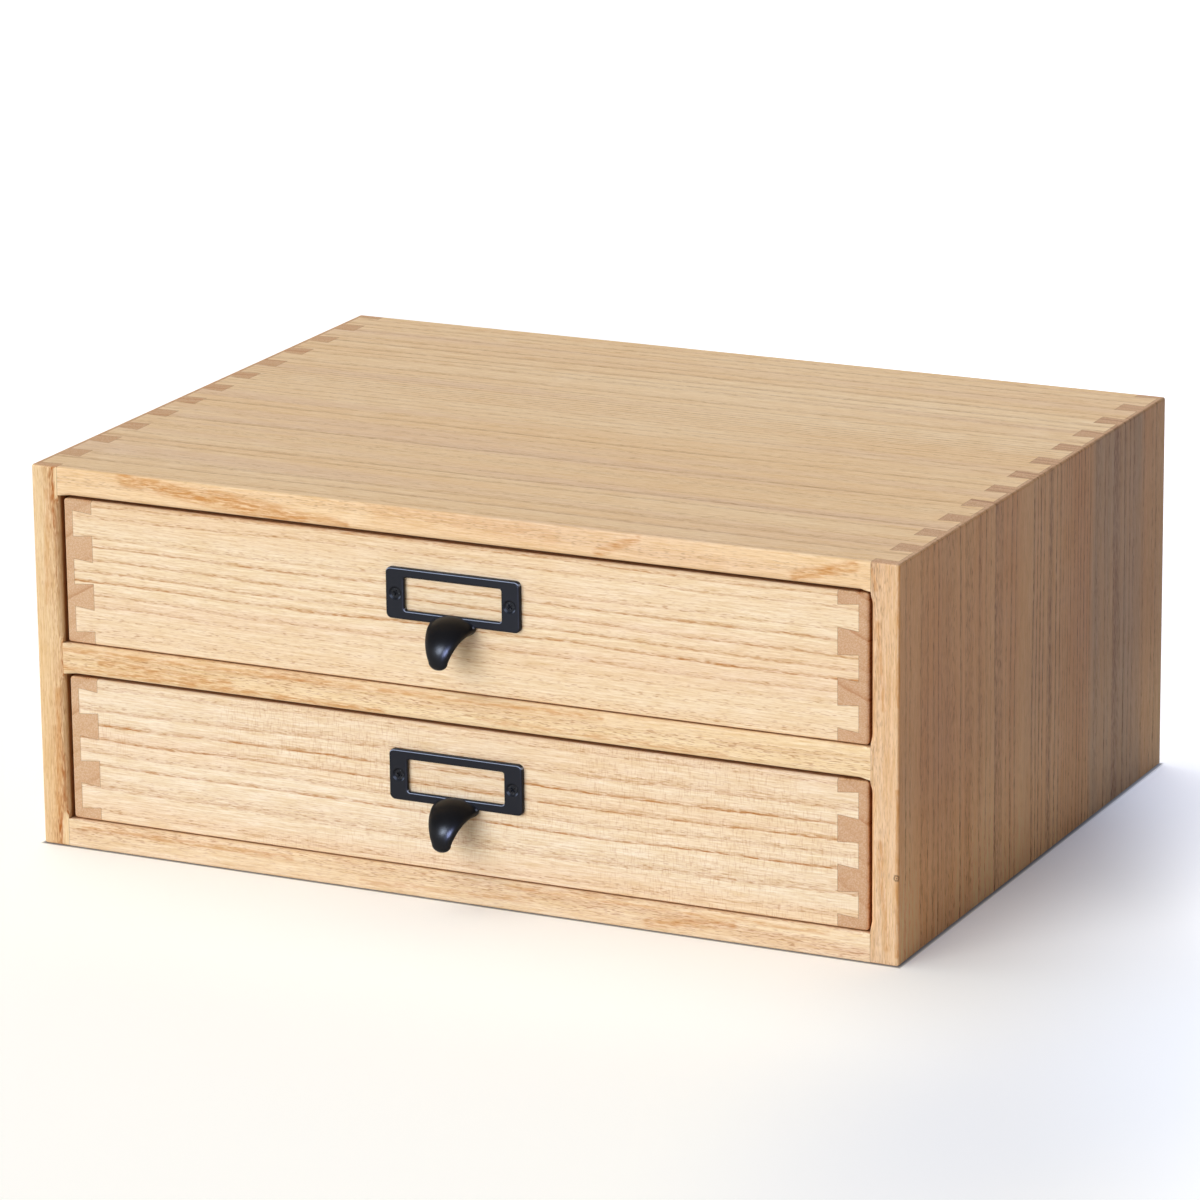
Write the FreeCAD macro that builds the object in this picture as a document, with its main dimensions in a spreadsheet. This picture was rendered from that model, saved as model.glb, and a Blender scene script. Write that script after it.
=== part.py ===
import FreeCAD, Part
import math
import os
from types import SimpleNamespace

import Sketcher
from FreeCAD import Placement, Rotation, Vector

# Two-drawer desk organizer of solid wood.
# Half-blind dovetails join the carcass: the tails are cut on the top and bottom boards, and the
# side boards carry the pins and a thin lap that covers the tails' ends.
# Each drawer is a dovetailed box with a grooved bottom and a cast label-holder pull.
# Frame: +X to the right, +Y to the back, +Z up, origin in the middle of the carcass underside.

# Driving dimensions, in millimetres except the counts and the slope
SIZES = (
    ("carcass_width", 355.0),
    ("carcass_depth", 266.0),
    ("carcass_height", 150.0),
    ("side_thickness", 11.0),
    ("top_thickness", 11.0),
    ("divider_thickness", 12.0),
    ("carcass_lap", 2.0),
    ("carcass_tail_count", 12),
    ("carcass_easing", 1.0),
    ("pin_width", 10.4),
    ("dovetail_slope", 0.105),
    ("opening_round", 2.5),
    ("opening_corner", 5.0),
    ("housing_depth", 4.0),
    ("housing_stop", 10.0),
    ("rail_depth", 45.0),
    ("runner_width", 12.0),
    ("back_thickness", 5.0),
    ("back_reveal", 8.5),
    ("back_groove_depth", 5.0),
    ("panel_play", 0.5),
    ("drawer_recess", 1.75),
    ("drawer_side_clearance", 1.5),
    ("drawer_top_clearance", 1.4),
    ("drawer_bottom_clearance", 0.3),
    ("drawer_back_clearance", 0.6),
    ("front_thickness", 11.0),
    ("drawer_side_thickness", 12.0),
    ("drawer_back_thickness", 10.0),
    ("drawer_lap", 3.8),
    ("drawer_tail_count", 3),
    ("drawer_easing", 1.2),
    ("bottom_thickness", 4.0),
    ("bottom_height", 7.0),
    ("bottom_groove_depth", 4.0),
    ("plate_width", 55.0),
    ("plate_height", 19.6),
    ("plate_thickness", 2.0),
    ("plate_corner", 2.2),
    ("plate_round", 0.7),
    ("plate_rise", 7.5),
    ("window_width", 40.0),
    ("window_height", 12.6),
    ("window_corner", 1.0),
    ("card_margin", 2.0),
    ("card_recess", 0.7),
    ("hook_reach", 12.0),
    ("hook_fall", 10.3),
    ("hook_drop", 0.5),
    ("hook_root_width", 18.2),
    ("hook_tip_width", 7.7),
    ("hook_tip_thickness", 4.0),
    ("hook_tip_length", 3.0),
    ("screw_spacing", 47.0),
    ("screw_head", 3.8),
    ("screw_shank", 2.2),
    ("screw_length", 10.0),
    ("screw_tip", 2.0),
    ("screw_sink", 0.6),
    ("screw_clearance", 0.1),
    ("recess_length", 2.2),
    ("recess_width", 0.6),
    ("recess_depth", 0.8),
)

# Angles in degrees
FULL_TURN = 360.0
HALF_TURN = 180.0
QUARTER_TURN = 90.0
COUNTERSINK = 90.0
# How far a cutting tool starts outside the wood, and how far round each screw's cross is turned
OVERCUT = 1.0
SCREW_TURNS = (20.0, 50.0)
# Two heights this close count as one
SAME = 1e-6
# The hook's quarter bend is drawn in this many steps, and its sides taper slowly at the root
# and faster at the tip
HOOK_STEPS = 8
HOOK_TAPER = 1.25


class Size:
    """A number worked out from the sheet: its expression, and its value for first drafts."""

    def __init__(self, text, value):
        self.text = text
        self.value = value

    def join(self, sign, other, value):
        return Size(f"({self.text} {sign} {as_size(other).text})", value)

    def __add__(self, other):
        return self.join("+", other, self.value + as_size(other).value)

    def __sub__(self, other):
        return self.join("-", other, self.value - as_size(other).value)

    def __mul__(self, other):
        return self.join("*", other, self.value * as_size(other).value)

    def __truediv__(self, other):
        return self.join("/", other, self.value / as_size(other).value)

    def __neg__(self):
        return Size(f"(0 - {self.text})", -self.value)


def as_size(number):
    """Gives a plain number the form of a Size."""
    if isinstance(number, Size):
        return number
    return Size(f"({number!r})", number)


def fill_sheet(doc):
    """Writes the driving dimensions to the sheet and returns them by name."""
    sheet = doc.addObject("Spreadsheet::Sheet", "sizes")
    found = {}
    for row, (name, value) in enumerate(SIZES, start=1):
        sheet.set(f"A{row}", name)
        sheet.set(f"B{row}", str(value))
        sheet.setAlias(f"B{row}", name)
        found[name] = Size(f"sizes.{name}", value)
    doc.recompute()
    return SimpleNamespace(**found)


def bind(feature, **sizes):
    """Binds properties of a feature to sizes, so bind(pad, Length=size)."""
    for name, size in sizes.items():
        feature.setExpression(name, as_size(size).text)


def place(feature, x=0.0, y=0.0, z=0.0, rotation=Rotation()):
    """Puts a feature's origin at x, y, z, each a size or a number."""
    feature.Placement = Placement(Vector(0, 0, 0), rotation)
    for axis, size in (("x", x), ("y", y), ("z", z)):
        feature.setExpression(f"Placement.Base.{axis}", as_size(size).text)


def origin_part(body, role):
    """Finds one of the body's own origin planes or axes."""
    return next(part for part in body.Origin.OriginFeatures if part.Role == role)


def add_sketch(body, name, plane, offset=0.0):
    """Adds a sketch on an origin plane of the body, moved along the plane's normal."""
    sketch = body.newObject("Sketcher::SketchObject", name)
    sketch.AttachmentSupport = [(origin_part(body, plane), "")]
    sketch.MapMode = "FlatFace"
    sketch.setExpression("AttachmentOffset.Base.z", as_size(offset).text)
    return sketch


def draw_outline(sketch, corners):
    """Draws a closed outline through the corners.

    Each corner is (x, y), or (x, y, centre, radius) where the stretch that starts there is an
    arc of less than half a turn about that centre.
    """
    points = [(as_size(corner[0]), as_size(corner[1])) for corner in corners]
    starts = []
    ends = []
    for number, corner in enumerate(corners):
        here = Vector(points[number][0].value, points[number][1].value, 0)
        other = points[(number + 1) % len(points)]
        there = Vector(other[0].value, other[1].value, 0)
        if len(corner) == 2:
            index = sketch.addGeometry(Part.LineSegment(here, there))
            starts.append((index, 1))
            ends.append((index, 2))
            continue
        centre = Vector(as_size(corner[2][0]).value, as_size(corner[2][1]).value, 0)
        radius = as_size(corner[3])
        middle = (here + there) * 0.5 - centre
        middle = centre + middle * (radius.value / middle.Length)
        arc = Part.Arc(here, middle, there)
        index = sketch.addGeometry(arc)
        turns_left = (here - centre).cross(there - centre).z > 0
        starts.append((index, 1 if turns_left else 2))
        ends.append((index, 2 if turns_left else 1))
        limit = sketch.addConstraint(Sketcher.Constraint("Radius", index, radius.value))
        sketch.setExpression(f"Constraints[{limit}]", radius.text)
    for number, (x, y) in enumerate(points):
        index, end = starts[number]
        sketch.addConstraint(Sketcher.Constraint("Coincident", *ends[number - 1], index, end))
        for kind, size in (("DistanceX", x), ("DistanceY", y)):
            limit = sketch.addConstraint(Sketcher.Constraint(kind, -1, 1, index, end, size.value))
            sketch.setExpression(f"Constraints[{limit}]", size.text)


def draw_circle(sketch, x, y, diameter):
    """Draws a circle about x, y."""
    x, y, diameter = as_size(x), as_size(y), as_size(diameter)
    circle = Part.Circle(Vector(x.value, y.value, 0), Vector(0, 0, 1), diameter.value / 2)
    index = sketch.addGeometry(circle)
    limit = sketch.addConstraint(Sketcher.Constraint("Diameter", index, diameter.value))
    sketch.setExpression(f"Constraints[{limit}]", diameter.text)
    for kind, size in (("DistanceX", x), ("DistanceY", y)):
        limit = sketch.addConstraint(Sketcher.Constraint(kind, -1, 1, index, 3, size.value))
        sketch.setExpression(f"Constraints[{limit}]", size.text)


def rectangle(left, right, low, high):
    """Gives the corners of a rectangle."""
    return [(left, low), (right, low), (right, high), (left, high)]


def rounded_rectangle(half_width, half_height, radius):
    """Gives the corners of a rectangle about the origin with rounded corners."""
    x, y = half_width - radius, half_height - radius
    return [
        (-x, -half_height),
        (x, -half_height, (x, -y), radius),
        (half_width, -y),
        (half_width, y, (x, y), radius),
        (x, half_height),
        (-x, half_height, (-x, y), radius),
        (-half_width, y),
        (-half_width, -y, (-x, -y), radius),
    ]


def pad(body, name, plane, outline, length, offset=0.0, reverse=False, both_ways=False):
    """Pads an outline along the plane's normal, against it, or half each way."""
    sketch = add_sketch(body, name + "_sketch", plane, offset)
    draw_outline(sketch, outline)
    feature = body.newObject("PartDesign::Pad", name)
    feature.Profile = (sketch, [""])
    feature.Reversed = reverse
    feature.SideType = "Symmetric" if both_ways else "One side"
    bind(feature, Length=length)
    return feature


def pocket(body, name, plane, outlines, length, offset=0.0, reverse=False, both_ways=False):
    """Cuts outlines into the body, against the plane's normal unless reversed."""
    sketch = add_sketch(body, name + "_sketch", plane, offset)
    for outline in outlines:
        draw_outline(sketch, outline)
    feature = body.newObject("PartDesign::Pocket", name)
    feature.Profile = (sketch, [""])
    feature.Reversed = reverse
    feature.SideType = "Symmetric" if both_ways else "One side"
    bind(feature, Length=length)
    return feature


def repeat(body, name, feature, axis, length, copies):
    """Repeats a feature in a row along an axis, the last copy at length from the first."""
    row = body.newObject("PartDesign::LinearPattern", name)
    row.Originals = [feature]
    row.Direction = (origin_part(body, axis), [""])
    bind(row, Length=length, Occurrences=copies)
    body.Tip = row
    return row


def box(doc, name, length, width, height):
    """Adds a plain board."""
    board = doc.addObject("Part::Box", name)
    bind(board, Length=length, Width=width, Height=height)
    return board


def rounded_block(doc, name, outline, height, radius):
    """Adds a block with every edge eased, the outer form that the finished boards share."""
    body = doc.addObject("PartDesign::Body", name)
    block = pad(body, name + "_block", "XY_Plane", outline, height)
    doc.recompute()
    easing = body.newObject("PartDesign::Fillet", name + "_easing")
    easing.Base = (block, [f"Edge{number}" for number in range(1, len(block.Shape.Edges) + 1)])
    bind(easing, Radius=radius)
    return body


def common(doc, name, first, second):
    """Keeps what two solids share."""
    feature = doc.addObject("Part::Common", name)
    feature.Base = first
    feature.Tool = second
    return feature


def mirror(doc, name, source):
    """Mirrors a finished piece from the left to the right."""
    feature = doc.addObject("Part::Mirroring", name)
    feature.Source = source
    feature.Normal = Vector(1, 0, 0)
    return feature


def work_out(size):
    """Adds the sizes that follow from the driving ones."""
    half = size.carcass_width / 2
    size.half_width = half
    size.half_depth = size.carcass_depth / 2
    size.half_inner = half - size.side_thickness
    clear_height = size.carcass_height - size.top_thickness * 2 - size.divider_thickness
    size.opening_height = clear_height / 2
    size.divider_base = size.top_thickness + size.opening_height
    size.back_front = size.carcass_depth - size.back_reveal - size.back_thickness
    size.carcass_pitch = size.carcass_depth / size.carcass_tail_count
    size.carcass_tail = size.side_thickness - size.carcass_lap
    size.drawer_half = size.half_inner - size.drawer_side_clearance
    size.drawer_length = size.back_front - size.drawer_recess - size.drawer_back_clearance
    clearance = size.drawer_top_clearance + size.drawer_bottom_clearance
    size.drawer_height = size.opening_height - clearance
    size.drawer_pitch = size.drawer_height / size.drawer_tail_count
    size.drawer_tail = size.drawer_side_thickness - size.drawer_lap
    size.drawer_y = size.drawer_recess - size.half_depth
    size.plate_z = size.drawer_height / 2 + size.plate_rise


def pin_gap(size, root, tail, across):
    """Gives the gap between two tails at one end of a board, centred across its first pin."""
    wide = size.pin_width / 2
    narrow = wide - tail * size.dovetail_slope
    end = root + tail * across
    return [(root, -wide), (end, -narrow), (end, narrow), (root, wide)]


def tail_socket(size, root, tail, pitch):
    """Gives the socket for the first tail in a left-hand side board, narrow at the inner face."""
    middle = pitch / 2
    narrow = (pitch - size.pin_width) / 2
    wide = narrow + tail * size.dovetail_slope
    end = root - tail
    return [
        (root, middle - narrow),
        (root, middle + narrow),
        (end, middle + wide),
        (end, middle - wide),
    ]


def cove(half, radius):
    """Gives the cutter's section as (depth, across): it widens to the front on both sides."""
    out = half + radius
    return [
        (-OVERCUT, out),
        (0, out, (radius, out), radius),
        (radius, half),
        (radius, -half, (radius, -out), radius),
        (0, -out),
        (-OVERCUT, -out),
    ]


def swap_axes(outline):
    """Swaps the two directions of an outline."""
    swapped = []
    for first, second, *arc in outline:
        turned = [(arc[0][1], arc[0][0]), arc[1]] if arc else []
        swapped.append((second, first, *turned))
    return swapped


def opening_cutter(doc, size, name, middle_height):
    """Rounds the front edges of one opening, as a cutter guided along its walls does.

    The cutter can't reach into the corners, so the rounding runs out there.
    """
    half_x, half_z = size.half_inner, size.opening_height / 2
    body = doc.addObject("PartDesign::Body", name)
    rails = cove(half_z, size.opening_round)
    stiles = swap_axes(cove(half_x, size.opening_round))
    for label, plane, outline, along in (
        ("rails", "YZ_Plane", rails, half_x),
        ("stiles", "XY_Plane", stiles, half_z),
    ):
        length = (along - size.opening_corner) * 2
        pad(body, f"{name}_{label}", plane, outline, length, both_ways=True)
    for side in (-1, 1):
        for end in (-1, 1):
            corner_round(size, body, f"{name}_corner_{side + 1}{end + 1}", side, end)
    place(body, 0.0, -size.half_depth, middle_height)
    return body


def corner_round(size, body, name, side, end):
    """Turns the cutter about the middle of its path's corner."""
    radius = size.opening_round
    reach = size.opening_corner
    axis_x = (size.half_inner - reach) * side
    sketch = add_sketch(body, name + "_sketch", "XY_Plane", (size.opening_height / 2 - reach) * end)
    inner, outer = axis_x + reach, axis_x + reach + radius
    outline = [
        (axis_x, -OVERCUT),
        (outer, -OVERCUT),
        (outer, 0, (outer, radius), radius),
        (inner, radius),
        (axis_x, radius),
    ]
    draw_outline(sketch, outline)
    turn = body.newObject("PartDesign::Revolution", name)
    turn.Profile = (sketch, [""])
    foot, top = Vector(axis_x.value, -OVERCUT, 0), Vector(axis_x.value, OVERCUT, 0)
    spindle = sketch.addGeometry(Part.LineSegment(foot, top), True)
    sketch.addConstraint(Sketcher.Constraint("Vertical", spindle))
    sketch.addConstraint(Sketcher.Constraint("PointOnObject", 0, 1, spindle))
    turn.ReferenceAxis = (sketch, ["Axis0"])
    turn.Angle = FULL_TURN


def tail_board(doc, size, name):
    """The top or bottom board, with its inner face at z = 0: tails at both ends."""
    body = doc.addObject("PartDesign::Body", name)
    end = size.half_width - size.carcass_lap
    outline = rectangle(-end, end, 0, size.carcass_depth)
    pad(body, name + "_board", "XY_Plane", outline, size.top_thickness)
    gaps = [
        pin_gap(size, size.half_inner, size.carcass_tail, 1),
        pin_gap(size, -size.half_inner, size.carcass_tail, -1),
    ]
    cut = pocket(body, name + "_pin_gap", "XY_Plane", gaps, size.top_thickness, reverse=True)
    copies = size.carcass_tail_count + 1
    repeat(body, name + "_pin_gaps", cut, "Y_Axis", size.carcass_depth, copies)
    groove = rectangle(-end, end, size.back_front, size.back_front + size.back_thickness)
    pocket(body, name + "_groove", "XY_Plane", [groove], size.back_groove_depth, reverse=True)
    return body


def side_board(doc, size, name):
    """The left side board: tail sockets at both ends, back groove and stopped housing."""
    body = doc.addObject("PartDesign::Body", name)
    inner = -size.half_inner
    outline = rectangle(-size.half_width, inner, 0, size.carcass_depth)
    pad(body, name + "_board", "XY_Plane", outline, size.carcass_height)
    socket = tail_socket(size, inner, size.carcass_tail, size.carcass_pitch)
    thickness = size.top_thickness
    for label, height in (("low", 0.0), ("high", size.carcass_height - thickness)):
        cut = pocket(
            body, f"{name}_{label}_socket", "XY_Plane", [socket], thickness, height, reverse=True
        )
        length = size.carcass_depth - size.carcass_pitch
        repeat(body, f"{name}_{label}_sockets", cut, "Y_Axis", length, size.carcass_tail_count)
    groove = rectangle(
        inner - size.back_groove_depth, inner,
        size.back_front, size.back_front + size.back_thickness,
    )
    pocket(body, name + "_groove", "XY_Plane", [groove], size.carcass_height, reverse=True)
    housing = rectangle(inner - size.housing_depth, inner, size.housing_stop, size.back_front)
    pocket(
        body, name + "_housing", "XY_Plane", [housing],
        size.divider_thickness, size.divider_base, reverse=True,
    )
    return body


def divider(doc, size, name):
    """The front rail: its ends are notched so that the housings don't show in front."""
    body = doc.addObject("PartDesign::Body", name)
    stub = size.half_inner + size.housing_depth
    outline = [
        (-size.half_inner, 0),
        (size.half_inner, 0),
        (size.half_inner, size.housing_stop),
        (stub, size.housing_stop),
        (stub, size.rail_depth),
        (-stub, size.rail_depth),
        (-stub, size.housing_stop),
        (-size.half_inner, size.housing_stop),
    ]
    pad(body, name + "_board", "XY_Plane", outline, size.divider_thickness)
    return body


def build_carcass(doc, size):
    """Makes the carcass and returns its finished pieces."""
    outline = rectangle(-size.half_width, size.half_width, 0, size.carcass_depth)
    form = rounded_block(doc, "carcass_form", outline, size.carcass_height, size.carcass_easing)
    place(form, 0.0, -size.half_depth, 0.0)
    middles = {
        "lower": size.top_thickness + size.opening_height / 2,
        "upper": size.carcass_height - size.top_thickness - size.opening_height / 2,
    }
    cutters = doc.addObject("Part::MultiFuse", "opening_cutters")
    cutters.Shapes = [
        opening_cutter(doc, size, f"{name}_cutter", middle) for name, middle in middles.items()
    ]
    over = Rotation(Vector(0, 1, 0), HALF_TURN)
    blanks = (
        ("carcass_top", tail_board, size.carcass_height - size.top_thickness, Rotation()),
        ("carcass_bottom", tail_board, size.top_thickness, over),
        ("carcass_side_left", side_board, 0.0, Rotation()),
        ("divider_rail", divider, size.divider_base, Rotation()),
    )
    finished = []
    for name, make, height, rotation in blanks:
        blank = make(doc, size, name + "_blank")
        place(blank, 0.0, -size.half_depth, height, rotation)
        routed = doc.addObject("Part::Cut", name + "_routed")
        routed.Base = blank
        routed.Tool = cutters
        finished.append(common(doc, name, routed, form))
    finished.append(mirror(doc, "carcass_side_right", finished[2]))

    width = size.housing_depth + size.runner_width
    length = size.back_front - size.rail_depth
    runner = box(doc, "runner_left", width, length, size.divider_thickness)
    start = size.rail_depth - size.half_depth
    place(runner, -size.half_inner - size.housing_depth, start, size.divider_base)
    finished.append(runner)
    finished.append(mirror(doc, "runner_right", runner))

    reach = size.back_groove_depth - size.panel_play
    clear_height = size.carcass_height - size.top_thickness * 2
    panel = box(
        doc, "carcass_back_panel",
        (size.half_inner + reach) * 2, size.back_thickness, clear_height + reach * 2,
    )
    place(
        panel, -size.half_inner - reach,
        size.back_front - size.half_depth, size.top_thickness - reach,
    )
    finished.append(panel)
    return finished


def drawer_end(doc, size, name, start, thickness, groove_start):
    """A drawer's front or back board: three tails at both ends and the bottom's groove."""
    body = doc.addObject("PartDesign::Body", name)
    end = size.drawer_half - size.drawer_lap
    outline = rectangle(-end, end, 0, size.drawer_height)
    pad(body, name + "_board", "XZ_Plane", outline, thickness, -start, reverse=True)
    root = size.drawer_half - size.drawer_side_thickness
    gaps = [
        pin_gap(size, root, size.drawer_tail, 1),
        pin_gap(size, -root, size.drawer_tail, -1),
    ]
    cut = pocket(body, name + "_pin_gap", "XZ_Plane", gaps, thickness, -start)
    copies = size.drawer_tail_count + 1
    repeat(body, name + "_pin_gaps", cut, "Z_Axis", size.drawer_height, copies)
    groove = rectangle(
        groove_start, groove_start + size.bottom_groove_depth,
        size.bottom_height, size.bottom_height + size.bottom_thickness,
    )
    pocket(body, name + "_groove", "YZ_Plane", [groove], size.drawer_half * 2, both_ways=True)
    return body


def drawer_side(doc, size, name):
    """A drawer's left side board: sockets for the tails of front and back, bottom groove."""
    body = doc.addObject("PartDesign::Body", name)
    inner = size.drawer_side_thickness - size.drawer_half
    outline = rectangle(-size.drawer_half, inner, 0, size.drawer_length)
    pad(body, name + "_board", "XY_Plane", outline, size.drawer_height)
    socket = tail_socket(size, inner, size.drawer_tail, size.drawer_pitch)
    back_start = size.drawer_length - size.drawer_back_thickness
    for label, start, thickness in (
        ("front", as_size(0.0), size.front_thickness),
        ("back", back_start, size.drawer_back_thickness),
    ):
        cut = pocket(body, f"{name}_{label}_socket", "XZ_Plane", [socket], thickness, -start)
        length = size.drawer_height - size.drawer_pitch
        repeat(body, f"{name}_{label}_sockets", cut, "Z_Axis", length, size.drawer_tail_count)
    groove = rectangle(
        inner - size.bottom_groove_depth, inner,
        size.bottom_height, size.bottom_height + size.bottom_thickness,
    )
    pocket(body, name + "_groove", "XZ_Plane", [groove], size.drawer_length)
    return body


def pilot_holes(doc, size, body, name):
    """Bores the holes for the pull's screws into a drawer front."""
    sketch = add_sketch(body, name + "_sketch", "XZ_Plane")
    for side in (-1, 1):
        across = size.screw_shank + size.screw_clearance
        draw_circle(sketch, size.screw_spacing / 2 * side, size.plate_z, across)
    doc.recompute()
    holes = body.newObject("PartDesign::Pocket", name)
    holes.Profile = (sketch, [""])
    buried = size.screw_length + size.screw_sink - size.plate_thickness
    bind(holes, Length=buried + size.screw_clearance)


def build_drawer(doc, size, level, base):
    """Makes the upper or lower drawer with its pull, its underside at the height base."""
    drawer = f"{level}_drawer"
    outline = rectangle(-size.drawer_half, size.drawer_half, 0, size.drawer_length)
    form = rounded_block(
        doc, f"{drawer}_form", outline, size.drawer_height, size.drawer_easing
    )
    back_start = size.drawer_length - size.drawer_back_thickness
    front = drawer_end(
        doc, size, f"{drawer}_front_blank", as_size(0.0), size.front_thickness,
        size.front_thickness - size.bottom_groove_depth,
    )
    pilot_holes(doc, size, front, f"{drawer}_pilot_holes")
    back = drawer_end(
        doc, size, f"{drawer}_back_blank", back_start, size.drawer_back_thickness, back_start
    )
    side = drawer_side(doc, size, f"{drawer}_side_blank")
    for body in (form, front, back, side):
        place(body, 0.0, size.drawer_y, base)
    finished = [
        common(doc, f"{drawer}_front", front, form),
        common(doc, f"{drawer}_back", back, form),
        common(doc, f"{drawer}_side_left", side, form),
    ]
    finished.append(mirror(doc, f"{drawer}_side_right", finished[2]))

    reach = size.bottom_groove_depth - size.panel_play
    half = size.drawer_half - size.drawer_side_thickness + reach
    start = size.front_thickness - reach
    bottom = box(
        doc, f"{drawer}_bottom", half * 2, back_start + reach - start, size.bottom_thickness
    )
    place(bottom, -half, size.drawer_y + start, base + size.bottom_height)
    finished.append(bottom)
    middle = base + size.plate_z
    finished.append(build_pull(doc, size, f"{level}_pull", middle))
    finished.append(build_screws(doc, size, f"{level}_pull_screws", middle))
    return finished


def plate(doc, size, name):
    """The pull's frame: a rounded plate with a window, a card recess and countersunk holes."""
    body = doc.addObject("PartDesign::Body", name)
    outline = rounded_rectangle(size.plate_width / 2, size.plate_height / 2, size.plate_corner)
    pad(body, name + "_slab", "XZ_Plane", outline, size.plate_thickness)
    window = rounded_rectangle(size.window_width / 2, size.window_height / 2, size.window_corner)
    cut = pocket(body, name + "_window", "XZ_Plane", [window], size.plate_thickness, reverse=True)
    doc.recompute()
    front = -size.plate_thickness.value
    rim = [
        f"Edge{number}" for number, edge in enumerate(cut.Shape.Edges, start=1)
        if max(abs(edge.BoundBox.YMax - front), abs(edge.BoundBox.YMin - front)) < SAME
    ]
    easing = body.newObject("PartDesign::Fillet", name + "_rim")
    easing.Base = (cut, rim)
    bind(easing, Radius=size.plate_round)
    recess = rectangle(
        -size.window_width / 2 - size.card_margin, size.window_width / 2 + size.card_margin,
        -size.window_height / 2 - size.card_margin, size.window_height / 2 + size.card_margin,
    )
    pocket(body, name + "_recess", "XZ_Plane", [recess], size.card_recess, reverse=True)
    sketch = add_sketch(body, name + "_holes_sketch", "XZ_Plane", size.plate_thickness)
    for side in (-1, 1):
        draw_circle(sketch, size.screw_spacing / 2 * side, 0.0, size.screw_shank)
    doc.recompute()
    holes = body.newObject("PartDesign::Hole", name + "_holes")
    holes.Profile = (sketch, [""])
    holes.DepthType = "ThroughAll"
    holes.HoleCutType = "Countersink"
    holes.HoleCutCustomValues = True
    holes.HoleCutCountersinkAngle = COUNTERSINK
    bind(
        holes, Diameter=size.screw_shank + size.screw_clearance * 2,
        HoleCutDiameter=size.screw_head + (size.screw_sink + size.screw_clearance) * 2,
    )
    return body


def hook_section(doc, size, name, share, height, lead=None):
    """One oval section of the hook, at a share of its quarter bend from root to tip.

    The middle line is a quarter of an ellipse, and each section stands square to it.
    """
    taper = share ** HOOK_TAPER
    root_half = size.hook_root_width / 2
    root_rise = size.plate_height / 2 + size.hook_drop - size.window_height / 2
    half = root_half + (size.hook_tip_width / 2 - root_half) * taper
    rise = root_rise + (size.hook_tip_thickness / 2 - root_rise) * share
    oval = doc.addObject("Part::Ellipse", name)
    bind(oval, MajorRadius=half, MinorRadius=rise)
    bend = math.radians(QUARTER_TURN * share)
    out = size.plate_thickness + size.hook_reach * math.sin(bend) if lead is None else lead
    low = size.hook_fall * (1 - math.cos(bend))
    rising = size.hook_fall.value * math.sin(bend)
    turned = math.degrees(math.atan2(rising, size.hook_reach.value * math.cos(bend)))
    middle = height - size.plate_height / 2 - size.hook_drop - low
    place(oval, 0.0, size.drawer_y - out, middle, Rotation(Vector(1, 0, 0), QUARTER_TURN + turned))
    return oval


def build_pull(doc, size, name, height):
    """Makes the pull: its frame and a finger hook that sweeps out and down from the frame."""
    frame = plate(doc, size, name + "_plate")
    place(frame, 0.0, size.drawer_y, height)
    sections = [hook_section(doc, size, name + "_section_root", 0.0, height, size.card_recess)]
    for step in range(HOOK_STEPS + 1):
        share = step / HOOK_STEPS
        sections.append(hook_section(doc, size, f"{name}_section_{step}", share, height))
    hook = doc.addObject("Part::Loft", name + "_hook")
    hook.Sections = sections
    hook.Solid = True
    tip = doc.addObject("Part::Ellipsoid", name + "_tip")
    tip.Angle1 = -QUARTER_TURN
    tip.Angle2 = 0.0
    bind(
        tip, Radius1=size.hook_tip_length, Radius2=size.hook_tip_width / 2,
        Radius3=size.hook_tip_thickness / 2,
    )
    drop = size.plate_height / 2 + size.hook_drop + size.hook_fall
    place(tip, 0.0, size.drawer_y - size.plate_thickness - size.hook_reach, height - drop)
    pull = doc.addObject("Part::MultiFuse", name)
    pull.Shapes = [frame, hook, tip]
    return pull


def build_screws(doc, size, name, height):
    """Makes the two countersunk screws with cross recesses that hold a pull."""
    head, shank = size.screw_head / 2, size.screw_shank / 2
    top = size.screw_sink - size.plate_thickness
    point = top + size.screw_length
    screws = []
    for side, turn in zip((-1, 1), SCREW_TURNS):
        label = f"{name}_{side + 1}"
        body = doc.addObject("PartDesign::Body", label)
        sketch = add_sketch(body, label + "_profile", "XY_Plane")
        outline = [
            (0, top), (head, top), (shank, top + head - shank),
            (shank, point - size.screw_tip), (0, point),
        ]
        draw_outline(sketch, outline)
        stem = body.newObject("PartDesign::Revolution", label + "_stem")
        stem.Profile = (sketch, [""])
        stem.ReferenceAxis = (sketch, ["V_Axis"])
        stem.Angle = FULL_TURN
        arm, half = size.recess_length / 2, size.recess_width / 2
        cross = [
            (-half, -arm), (half, -arm), (half, -half), (arm, -half), (arm, half), (half, half),
            (half, arm), (-half, arm), (-half, half), (-arm, half), (-arm, -half), (-half, -half),
        ]
        pocket(body, label + "_cross", "XZ_Plane", [cross], size.recess_depth, -top)
        spin = Rotation(Vector(0, 1, 0), turn)
        place(body, size.screw_spacing / 2 * side, size.drawer_y, height, spin)
        screws.append(body)
    pair = doc.addObject("Part::Compound", name)
    pair.Links = screws
    return pair


def check(doc, pieces):
    """Stops if a feature failed or a finished piece isn't a sound solid."""
    for feature in doc.Objects:
        if "Invalid" in feature.State or "Error" in feature.State:
            raise RuntimeError(f"{feature.Label} failed: {feature.State}")
    for piece in pieces:
        if piece.Shape.isNull() or not piece.Shape.isValid() or not piece.Shape.Solids:
            raise RuntimeError(f"{piece.Label} has no sound solid")


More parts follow.
